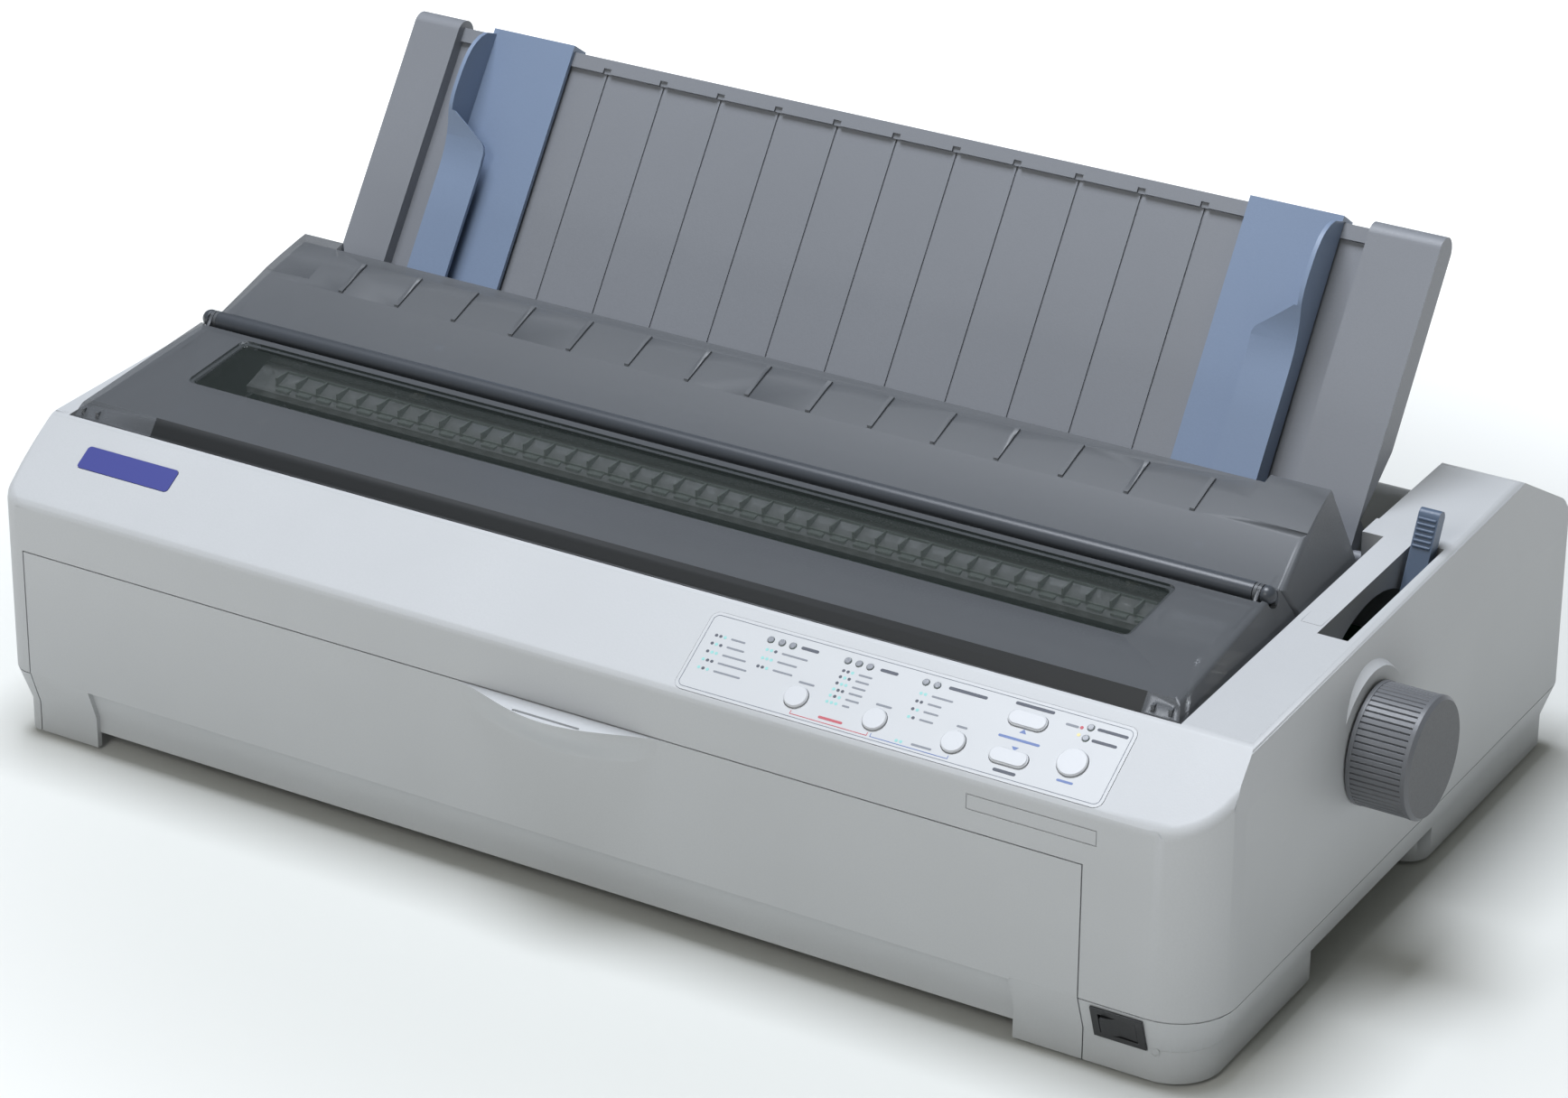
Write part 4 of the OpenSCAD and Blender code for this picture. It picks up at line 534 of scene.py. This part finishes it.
# The photograph's view, fitted to the case's corners: metres, millimetres of lens and degrees
CAMERA_PLACE = (1.0186, -1.7362, 1.0986)
CAMERA_LENS = 114.8
CAMERA_SHIFT = (0.0139, -0.1239)
CAMERA_ROUND, CAMERA_DOWN, CAMERA_ROLL = 30.98, 24.1, 0.29
# How far from the middle the floor's painted shade starts to fade into a painted glow, and where it is white, in
# metres
FLOOR_FADE = (0.25, 0.9)
# Each softbox: place and side in metres, the name of its power, colour
SOFTBOXES = {
    "overhead_softbox": ((-0.3, 0.0, 2.9), 1.4, "key_power", "#F1F6FF"),
    "front_softbox": ((0.0, -2.4, 1.9), 1.0, "fill_power", "#FFFEFA"),
}
LIT_POINT = Vector((0, 0, 0.1))


class PRINTER_OT_stage(bpy.types.Operator):
    """Make the pale floor, the studio lights and the camera"""

    bl_idname = "printer.stage"
    bl_label = "Stage"

    def execute(self, context):
        scene = context.scene
        studio = scene.printer_studio
        scene.view_settings.view_transform = "Standard"
        self.camera(scene)
        self.floor(studio)
        self.lights(studio)
        world = bpy.data.worlds.new("even_surroundings")
        world.use_nodes = True
        world.node_tree.nodes["Background"].inputs["Color"].default_value = linear("#EDF1E8")
        world.node_tree.nodes["Background"].inputs["Strength"].default_value = studio.sky
        scene.world = world
        scene.cycles.transparent_max_bounces = 24
        return {"FINISHED"}

    def camera(self, scene):
        """The photograph's view: a long lens from the front right and above."""
        data = bpy.data.cameras.new("photo_camera")
        data.sensor_width = 36.0
        data.lens = CAMERA_LENS
        data.shift_x, data.shift_y = CAMERA_SHIFT
        data.clip_end = 50.0
        camera = bpy.data.objects.new("photo_camera", data)
        camera.location = CAMERA_PLACE
        turned = Matrix.Identity(3)
        for angle, axis in ((CAMERA_ROUND, "Z"), (90 - CAMERA_DOWN, "X"), (CAMERA_ROLL, "Z")):
            turned = turned @ Matrix.Rotation(math.radians(angle), 3, axis)
        camera.rotation_euler = turned.to_euler()
        scene.collection.objects.link(camera)
        scene.camera = camera

    def floor(self, studio):
        """A pale floor with painted shade and glow: darker near the printer like a soft contact shadow, brighter and
        glowing away from it, up to white.
        """
        bm = bmesh.new()
        bmesh.ops.create_grid(bm, x_segments=2, y_segments=2, size=6.0)
        mesh = bpy.data.meshes.new("studio_floor")
        bm.to_mesh(mesh)
        bm.free()
        made, tree, place = new_material("painted_floor")
        away = add(tree, "ShaderNodeVectorMath", {0: place}, operation="LENGTH")
        share = add(
            tree,
            "ShaderNodeMapRange",
            {"Value": away.outputs["Value"], "From Min": FLOOR_FADE[0], "From Max": FLOOR_FADE[1]},
            interpolation_type="SMOOTHSTEP",
        )
        tint = add(
            tree,
            "ShaderNodeMix",
            {"Factor": share.outputs["Result"], "A": (*studio.floor, 1.0), "B": linear("#F6F6F4")},
            data_type="RGBA",
        )
        # Painted glow: the floor gives off light away from the printer, so that it shows white
        glow = add(tree, "ShaderNodeMath", {0: share.outputs["Result"], 1: 0.5}, operation="MULTIPLY")
        paint = {
            "Base Color": tint.outputs["Result"],
            "Roughness": 0.8,
            "Emission Color": linear("#FFFFFF"),
            "Emission Strength": glow.outputs[0],
        }
        close(tree, add(tree, "ShaderNodeBsdfPrincipled", paint))
        mesh.materials.append(made)
        floor = bpy.data.objects.new("studio_floor", mesh)
        bpy.context.scene.collection.objects.link(floor)

    def lights(self, studio):
        """A cool softbox overhead, a little to the left, and a weaker one in front."""
        for name, (place, size, power, tint) in SOFTBOXES.items():
            data = bpy.data.lights.new(name, "AREA")
            data.shape = "SQUARE"
            data.size = size
            data.energy = getattr(studio, power)
            data.color = linear(tint)[:3]
            light = bpy.data.objects.new(name, data)
            light.location = place
            light.rotation_euler = (LIT_POINT - light.location).to_track_quat("-Z", "Y").to_euler()
            bpy.context.scene.collection.objects.link(light)


# Radius that blends the slope, the fascia and the side at the front corners, in metres
CASE_BLEND = 4 * MM


class PRINTER_OT_case(bpy.types.Operator):
    """Dress the case, the front cover and the feet"""

    bl_idname = "printer.case"
    bl_label = "Case"

    def execute(self, context):
        made = finish_set()
        edge = context.scene.printer_case.edge
        dress("upper_case", made, edge, blend=CASE_BLEND)
        dress("lower_case", made, edge)
        dress("front_cover", made, edge)
        for node in ("rubber_feet", "case_screws", "rear_connectors"):
            dress(node, made, 0.3 * MM)
        return {"FINISHED"}


# The tension unit's comb, in millimetres: its margin at both ends, its pitch, the y and z of each
# rail from the unit's low corner, a rail's width and height, and the tongues' room and length
COMB_MARGIN = 14
COMB_PITCH = 11.5
COMB_RAILS = ((4.0, 15.2), (13.0, 18.4))
RAIL_WIDE, RAIL_TALL = 0.9, 1.4
TONGUE_ROOM, TONGUE_LONG = 2, 3
TONGUE_THICK = 1.2
# Lengths of the lid's front wall, at its left and right ends, that stay clear of its painted shade, in millimetres
LID_CLIP = (44, 18)


class PRINTER_OT_covers(bpy.types.Operator):
    """Dress the smoked hood and lid and their roller"""

    bl_idname = "printer.covers"
    bl_label = "Covers"

    def execute(self, context):
        made = finish_set()
        cover = context.scene.printer_cover
        smoked = dict(made)
        smoked["smoke_plastic"] = moulded(
            "smoked_lid_polycarbonate", (*cover.shade, 1.0), 0.36, 0.8 * MM, 0.05 * MM, Alpha=cover.lid_opacity
        )
        dress("hood", made, cover.edge, corner=cover.corner)
        lid_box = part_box("lid_frame")
        start, end = lid_box[0][0] + LID_CLIP[0] * MM, lid_box[1][0] - LID_CLIP[1] * MM
        # The middle of the lid's front wall gets a near-black finish: painted shade for the dark, shadowed strip
        # under the lid's front edge
        front_wall_painted_shade = {
            "cuts": (start, end),
            "picks": lambda face: face.normal.y < -0.6 and start < face.calc_center_median().x < end,
            "finish": moulded(
                "shaded_black_polycarbonate", linear("#242628"), 0.4, 0.8 * MM, 0.01 * MM, vary=0.02
            ),
        }
        dress("lid_frame", smoked, cover.edge, corner=cover.corner, painted_shade=front_wall_painted_shade)
        dress("lid_window", made, 0.3 * MM)
        rod = dict(made)
        rod["knob_plastic"] = moulded("polished_dark_rod", linear("#43474D"), 0.34, 1.0 * MM, 0.002 * MM, vary=0.01)
        dress("lid_roller", rod, 0.3 * MM)
        self.comb(made)
        return {"FINISHED"}

    def comb(self, made):
        """The two rails, the teeth and the tongues along the tension unit, seen through the window."""
        low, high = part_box("tension_unit")
        bm = bmesh.new()

        def bar(x, y, z):
            size = [b - a for a, b in (x, y, z)]
            middle = [(a + b) / 2 for a, b in (x, y, z)]
            shape = Matrix.Translation(middle) @ Matrix.Diagonal((*size, 1))
            bmesh.ops.create_cube(bm, size=1.0, matrix=shape)

        margin, pitch = COMB_MARGIN * MM, COMB_PITCH * MM
        for y, z in COMB_RAILS:
            front, under = low[1] + y * MM, low[2] + z * MM
            bar(
                (low[0] + margin, high[0] - margin),
                (front, front + RAIL_WIDE * MM),
                (under, under + RAIL_TALL * MM),
            )
        (y0, z0), (y1, z1) = COMB_RAILS
        for k in range(int((high[0] - low[0] - 2 * margin) / pitch)):
            x = low[0] + margin + k * pitch
            bar(
                (x, x + RAIL_WIDE * MM),
                (low[1] + y0 * MM, low[1] + y1 * MM),
                (low[2] + z0 * MM, low[2] + (z1 + RAIL_TALL) * MM),
            )
            bar(
                (x + TONGUE_ROOM * MM, x + pitch - TONGUE_ROOM * MM),
                (low[1] + (y0 - TONGUE_LONG) * MM, low[1] + (y0 + 0.4) * MM),
                (low[2] + (z0 - TONGUE_THICK / 2) * MM, low[2] + (z0 + TONGUE_THICK / 2) * MM),
            )
        soften(bm, 0.15 * MM)
        clear = moulded("frosted_polycarbonate", linear("#A3ADA8"), 0.3, 0.9 * MM, 0.01 * MM, Alpha=0.55)
        finish_piece("tension_comb", bm, BODY_OF["tension_unit"], [clear])


class PRINTER_OT_guides(bpy.types.Operator):
    """Dress the paper guide and its edge guides"""

    bl_idname = "printer.guides"
    bl_label = "Paper guides"

    def execute(self, context):
        made = finish_set()
        edge = context.scene.printer_guide.edge
        dress("paper_guide", made, edge)
        dress("edge_guide_left", made, edge * 0.6)
        dress("edge_guide_right", made, edge * 0.6)
        return {"FINISHED"}


# Panel layout: x along the slope and s up it, in millimetres
PANEL_X = (356.8, 557.3)
PANEL_S = (2.6, 42.4)
PANEL_INSET = 1.4
LAMPS = (
    [(x, 36.1) for x in (387.6, 393.0, 398.2)]
    + [(x, 36.4) for x in (424.6, 429.9, 435.1)]
    + [(461.5, 36.6), (466.8, 36.6), (537.5, 37.0), (537.5, 31.7)]
)
LAMP_RADIUS = 1.6
LAMP_TALL = 0.5
DOT_RADIUS = 0.75
DOT_STEP = 2.1
# Each column of dot legends: left dot's x, top and bottom s, its rows and the length of its bars
LEGENDS = [
    (363.5, 31.2, 14.6, ["ddt", "dtd", "dtt", "tdd", "tdt"], (7.0, 8.5, 11.5, 14.0, 13.0)),
    (388.2, 31.2, 22.6, ["ttd", "ttt", "ddt"], (12.5, 9.5, 9.5)),
    (425.0, 31.4, 15.6, ["ddt", "dtd", "dtt", "tdd", "tdt", "ttt"], (6.5, 6.5, 6.5, 6.5, 6.5, 3.5)),
    (461.8, 31.1, 19.2, ["tt", "dd", "dt", "td"], (10.0, 6.5, 7.0, 6.5)),
]
# Word places, filled with plain bars: centre x, s, length, height
TITLES = [
    (406.4, 36.4, 8.5, 1.5),
    (444.2, 36.5, 8.5, 1.5),
    (481.0, 37.1, 18.0, 1.5),
    (511.2, 38.9, 18.0, 1.5),
    (512.0, 6.9, 10.5, 1.5),
    (547.4, 37.1, 14.0, 1.4),
    (546.0, 31.5, 11.5, 1.4),
]
SMALL_TITLES = [(412.6, 20.8, 7.5, 1.0), (449.5, 20.7, 7.5, 1.0), (485.8, 21.2, 5.0, 1.0)]
# Brackets under the select buttons: ends in x, ink, and the s of their foot and of their tips
BRACKETS = ((412.3, 448.7, "r"), (450.3, 486.4, "b"))
BRACKET_FOOT, BRACKET_TIP = 5.5, 7.1
HAIRLINE = 0.35
# Arrowheads between the load and feed buttons: corners as (x, s)
ARROWS = (
    [(509.8, 26.0), (513.0, 26.0), (511.4, 28.0)],
    [(509.8, 19.2), (511.4, 17.2), (513.0, 19.2)],
)
BUTTONS = (
    *("select_button_" + place for place in ("left", "middle", "right")),
    *(name + "_button" for name in ("load", "feed", "pause")),
)


class Printer:
    """Lays thin ink shapes on the slope, all in one mesh with a material for each ink."""

    def __init__(self, place, base, height=INK_HEIGHT):
        self.bm = bmesh.new()
        self.place = place
        self.base = base
        self.height = height
        self.inks = []

    def ink(self, name):
        if name not in self.inks:
            self.inks.append(name)
        return self.inks.index(name)

    def corners(self, outline):
        """Vertices on the carrying surface for an outline given as (x, s) in millimetres."""
        return [self.bm.verts.new(self.place @ Vector((x * MM, s * MM, self.base * MM))) for x, s in outline]

    def raise_up(self, faces, ink):
        """Extrudes joined flat faces to the ink's height."""
        raised = bmesh.ops.extrude_face_region(self.bm, geom=faces)
        top = [g for g in raised["geom"] if isinstance(g, bmesh.types.BMVert)]
        lift = self.place.to_3x3() @ Vector((0, 0, self.height * MM))
        bmesh.ops.translate(self.bm, verts=top, vec=lift)
        number = self.ink(ink)
        for face in {near for vert in top for near in vert.link_faces} | set(faces):
            face.material_index = number

    def lay(self, outline, ink):
        self.raise_up([self.bm.faces.new(self.corners(outline))], ink)

    def dot(self, x, s, radius, ink, sides=14):
        self.lay([(x + radius * math.cos(t), s + radius * math.sin(t)) for t in turns(sides)], ink)

    def bar(self, x, s, long, tall, ink):
        """A bar with round ends, centred on x and s."""
        r = tall / 2
        half = long / 2 - r
        right = [(x + half + r * math.cos(t), s + r * math.sin(t)) for t in arc(-90, 90, 5)]
        left = [(x - half + r * math.cos(t), s + r * math.sin(t)) for t in arc(90, 270, 5)]
        self.lay(right + left, ink)

    def line(self, x0, s0, x1, s1, wide, ink):
        across = Vector((s0 - s1, x1 - x0)).normalized() * wide / 2
        self.lay(
            [
                (x0 - across.x, s0 - across.y),
                (x1 - across.x, s1 - across.y),
                (x1 + across.x, s1 + across.y),
                (x0 + across.x, s0 + across.y),
            ],
            ink,
        )

    def frame(self, x, s, radius, wide, ink):
        """A closed line that follows a rectangle with round corners."""
        outer = round_corners(x, s, radius)
        inner = round_corners((x[0] + wide, x[1] - wide), (s[0] + wide, s[1] - wide), radius - wide)
        self.between(outer, inner, ink)

    def ring(self, x, s, radius, wide, ink, sides=28):
        self.between(
            [(x + radius * math.cos(t), s + radius * math.sin(t)) for t in turns(sides)],
            [(x + (radius - wide) * math.cos(t), s + (radius - wide) * math.sin(t)) for t in turns(sides)],
            ink,
        )

    def between(self, outer, inner, ink):
        """A closed band between two outlines with the same number of points."""
        rims = (self.corners(outer), self.corners(inner))
        band = [
            self.bm.faces.new((rims[0][i - 1], rims[0][i], rims[1][i], rims[1][i - 1])) for i in range(len(outer))
        ]
        self.raise_up(band, ink)

    def done(self, name, made):
        bmesh.ops.recalc_face_normals(self.bm, faces=self.bm.faces)
        return finish_piece(name, self.bm, "printer", [made[i] for i in self.inks], sharp=30.0)


def turns(sides):
    """The angles of a circle's points."""
    return [2 * math.pi * k / sides for k in range(sides)]


def arc(start, end, steps):
    """The angles of an arc's points, from degrees."""
    return [math.radians(start + (end - start) * k / steps) for k in range(steps + 1)]


def round_corners(x, s, radius, steps=6):
    """The outline of a rectangle with round corners."""
    centres = [(x[1], s[1], 0), (x[0], s[1], 90), (x[0], s[0], 180), (x[1], s[0], 270)]
    points = []
    for cx, cs, start in centres:
        inward_x = cx - radius if cx == x[1] else cx + radius
        inward_s = cs - radius if cs == s[1] else cs + radius
        points += [
            (inward_x + radius * math.cos(t), inward_s + radius * math.sin(t)) for t in arc(start, start + 90, steps)
        ]
    return points


class PRINTER_OT_panel(bpy.types.Operator):
    """Dress the control panel: film, prints, lamps, buttons and the bare badge"""

    bl_idname = "printer.panel"
    bl_label = "Control panel"

    def execute(self, context):
        made = finish_set()
        dress("control_overlay", made, 0)
        dress("badge_plate", made, 0.15 * MM)
        for node in BUTTONS:
            dress(node, made, 0.5 * MM, least_length=0.2 * MM)
        paint("panel_board", made)
        self.prints(made)
        self.lamps()
        return {"FINISHED"}

    def prints(self, made):
        """Outline, dot legends, brackets, arrows and plain bars in the places of the words."""
        inks = {
            "d": printing_ink("dark_grey_ink", "#4A4E58"),
            "t": printing_ink("teal_ink", "#8CC4C0"),
            "g": printing_ink("grey_ink", "#7D8188"),
            "l": printing_ink("line_ink", "#6C717A"),
            "r": printing_ink("red_ink", "#B4525C"),
            "b": printing_ink("blue_ink", "#6478A8"),
            "y": printing_ink("yellow_ink", "#E2D59A"),
        }
        sheet = Printer(slope_place(), OVERLAY_TOP)
        x, s = ((low + PANEL_INSET, high - PANEL_INSET) for low, high in (PANEL_X, PANEL_S))
        sheet.frame(x, s, 2.8, 0.28, "l")
        for left, top, bottom, rows, bars in LEGENDS:
            for i, row in enumerate(rows):
                s = top + (bottom - top) * i / (len(rows) - 1)
                for k, ink in enumerate(row):
                    sheet.dot(left + DOT_STEP * k, s, DOT_RADIUS, ink)
                start = left + DOT_STEP * len(row) + 0.8
                sheet.bar(start + bars[i] / 2, s, bars[i], 0.9, "g")
        for x, s, long, tall in TITLES:
            sheet.bar(x, s, long, tall, "d")
        for x, s, long, tall in SMALL_TITLES:
            sheet.bar(x, s, long, tall, "g")
        for x0, x1, ink in BRACKETS:
            sheet.line(x0, BRACKET_FOOT, x1, BRACKET_FOOT, HAIRLINE, ink)
            for x in (x0, x1):
                sheet.line(x, BRACKET_FOOT - 0.1, x, BRACKET_TIP, HAIRLINE, ink)
        sheet.bar(430.5, 7.7, 11.5, 1.2, "r")
        sheet.bar(473.5, 7.4, 9.5, 1.0, "g")
        for x in (462.0, 464.1):
            sheet.dot(x, 7.1, DOT_RADIUS, "t")
        for arrow in ARROWS:
            sheet.lay(arrow, "b")
        sheet.bar(511.4, 22.6, 19.0, 1.2, "b")
        sheet.bar(538.0, 10.2, 7.5, 1.1, "b")
        sheet.dot(533.8, 35.9, 0.8, "r")
        sheet.dot(534.0, 32.4, 0.8, "y")
        sheet.bar(529.6, 35.7, 6.0, 1.1, "g")
        sheet.done("panel_prints", inks)

    def lamps(self):
        """Low domes of the lamps, unlit grey."""
        made = moulded("diffused_lens", linear("#85888F"), 0.25, 0.9 * MM, 0.005 * MM)
        bm = bmesh.new()
        place = slope_place()
        for x, s in LAMPS:
            at = place @ Matrix.Translation((x * MM, s * MM, (OVERLAY_TOP + 0.35) * MM))
            ring = bmesh.ops.create_cone(
                bm,
                cap_ends=True,
                segments=24,
                radius1=LAMP_RADIUS * 1.04 * MM,
                radius2=LAMP_RADIUS * 0.8 * MM,
                depth=LAMP_TALL * MM,
                matrix=at,
            )
            edges = dict.fromkeys(edge for vert in ring["verts"] for edge in vert.link_edges)
            top = [edge for edge in edges if edge.calc_face_angle(0) > 0.5]
            bmesh.ops.bevel(bm, geom=top, offset=0.12 * MM, affect="EDGES", segments=2, profile=0.5, material=-1)
        finish_piece("lamp_lenses", bm, "printer", [made])


# The bar's and the ring's x under the rocker, and their height
SWITCH_MARKS = (559.3, 584.3, 15.9)
MARK_REACH, MARK_WIDE = 2.3, 0.6
# The outlined fields beside the lever's slot: their x, the y between them and half their gap
LEVER_BOX_X = (574.6, 584.4)
LEVER_BOX_Y = (146.5, 161, 176, 194, 211, 227)
LEVER_BOX_GAP = 0.8


class PRINTER_OT_switch_and_lever(bpy.types.Operator):
    """Dress the power switch and the release lever, with their marks"""

    bl_idname = "printer.switch_and_lever"
    bl_label = "Switch and lever"

    def execute(self, context):
        made = finish_set()
        for node in ("switch_bezel", "power_rocker"):
            dress(node, made, 0.3 * MM)
        dress("release_lever", made, 0.4 * MM)
        self.switch_marks(made)
        self.lever_boxes(made)
        return {"FINISHED"}

    def switch_marks(self, made):
        """The raised bar and ring under the rocker, for on and off."""
        bar_x, ring_x, height = SWITCH_MARKS
        face = surface_at("lower_case", case_point(ring_x, -40, height), (0, 1, 0))
        place = Matrix.Translation(Vector((CASE_LEFT, face.y, 0))) @ Matrix.Rotation(math.radians(90), 4, "X")
        marks = Printer(place, -0.05, 0.3)
        marks.line(bar_x, height - MARK_REACH, bar_x, height + MARK_REACH, MARK_WIDE, "c")
        marks.ring(ring_x, height, MARK_REACH - 0.1, MARK_WIDE, "c")
        marks.done("switch_marks", {"c": made["case_plastic"]})

    def lever_boxes(self, made):
        """The row of outlined fields beside the lever's slot, left bare."""
        x0, x1 = LEVER_BOX_X
        top = surface_at("upper_case", case_point((x0 + x1) / 2, LEVER_BOX_Y[0] + 5, 200), (0, 0, -1))
        place = Matrix.Translation(Vector((CASE_LEFT, CASE_FRONT, top.z)))
        boxes = Printer(place, -0.04, 0.18)
        for y0, y1 in zip(LEVER_BOX_Y, LEVER_BOX_Y[1:]):
            boxes.frame((x0, x1), (y0 + LEVER_BOX_GAP, y1 - LEVER_BOX_GAP), 1.0, HAIRLINE, "c")
        boxes.done("lever_fields", {"c": made["case_plastic"]})


class PRINTER_OT_knob(bpy.types.Operator):
    """Dress the platen knob and the platen's pieces"""

    bl_idname = "printer.knob"
    bl_label = "Platen and knob"

    def execute(self, context):
        made = finish_set()
        # The knob's end face, turned away from the light, gets a darker copy of its plastic as painted shade
        end_face_painted_shade = {
            "picks": lambda face: face.normal.x > 0.95,
            "finish": moulded("satin_charcoal_abs", linear("#4A4C4F"), 0.5, 0.8 * MM, 0.02 * MM),
        }
        dress("platen_knob", made, 0.25 * MM, painted_shade=end_face_painted_shade, least_length=0.6 * MM)
        for node in ("platen_roller", "platen_shaft", "tension_roller", "carriage_shaft", "tractor_rod"):
            dress(node, made, 0.2 * MM)
        return {"FINISHED"}


class PRINTER_OT_mechanism(bpy.types.Operator):
    """Finish everything inside"""

    bl_idname = "printer.mechanism"
    bl_label = "Mechanism"

    def execute(self, context):
        made = finish_set()
        for name, node in frame["nodes"].items():
            if not node.hide_render and name != "panel_board":
                dress(name, made, 0)
        return {"FINISHED"}


class PRINTER_PT_sidebar(bpy.types.Panel):
    """Lists the steps in order"""

    bl_label = "Printer"
    bl_idname = "PRINTER_PT_sidebar"
    bl_space_type = "VIEW_3D"
    bl_region_type = "UI"
    bl_category = "Printer"

    def draw(self, context):
        for step in STEPS:
            self.layout.operator(step.bl_idname)


STEPS = (
    PRINTER_OT_stage,
    PRINTER_OT_case,
    PRINTER_OT_covers,
    PRINTER_OT_guides,
    PRINTER_OT_panel,
    PRINTER_OT_switch_and_lever,
    PRINTER_OT_knob,
    PRINTER_OT_mechanism,
)
GROUPS = {
    "printer_case": CaseFinish,
    "printer_cover": CoverFinish,
    "printer_guide": GuideFinish,
    "printer_panel": PanelFinish,
    "printer_studio": StudioSettings,
}


def register():
    for cls in (*GROUPS.values(), *STEPS, PRINTER_PT_sidebar):
        bpy.utils.register_class(cls)
    for name, group in GROUPS.items():
        setattr(bpy.types.Scene, name, PointerProperty(type=group))


def unregister():
    for name in GROUPS:
        delattr(bpy.types.Scene, name)
    for cls in (PRINTER_PT_sidebar, *STEPS[::-1], *reversed(GROUPS.values())):
        bpy.utils.unregister_class(cls)


def main():
    register()
    for step in STEPS:
        group, name = step.bl_idname.split(".")
        getattr(getattr(bpy.ops, group), name)()


if __name__ == "__main__":
    main()
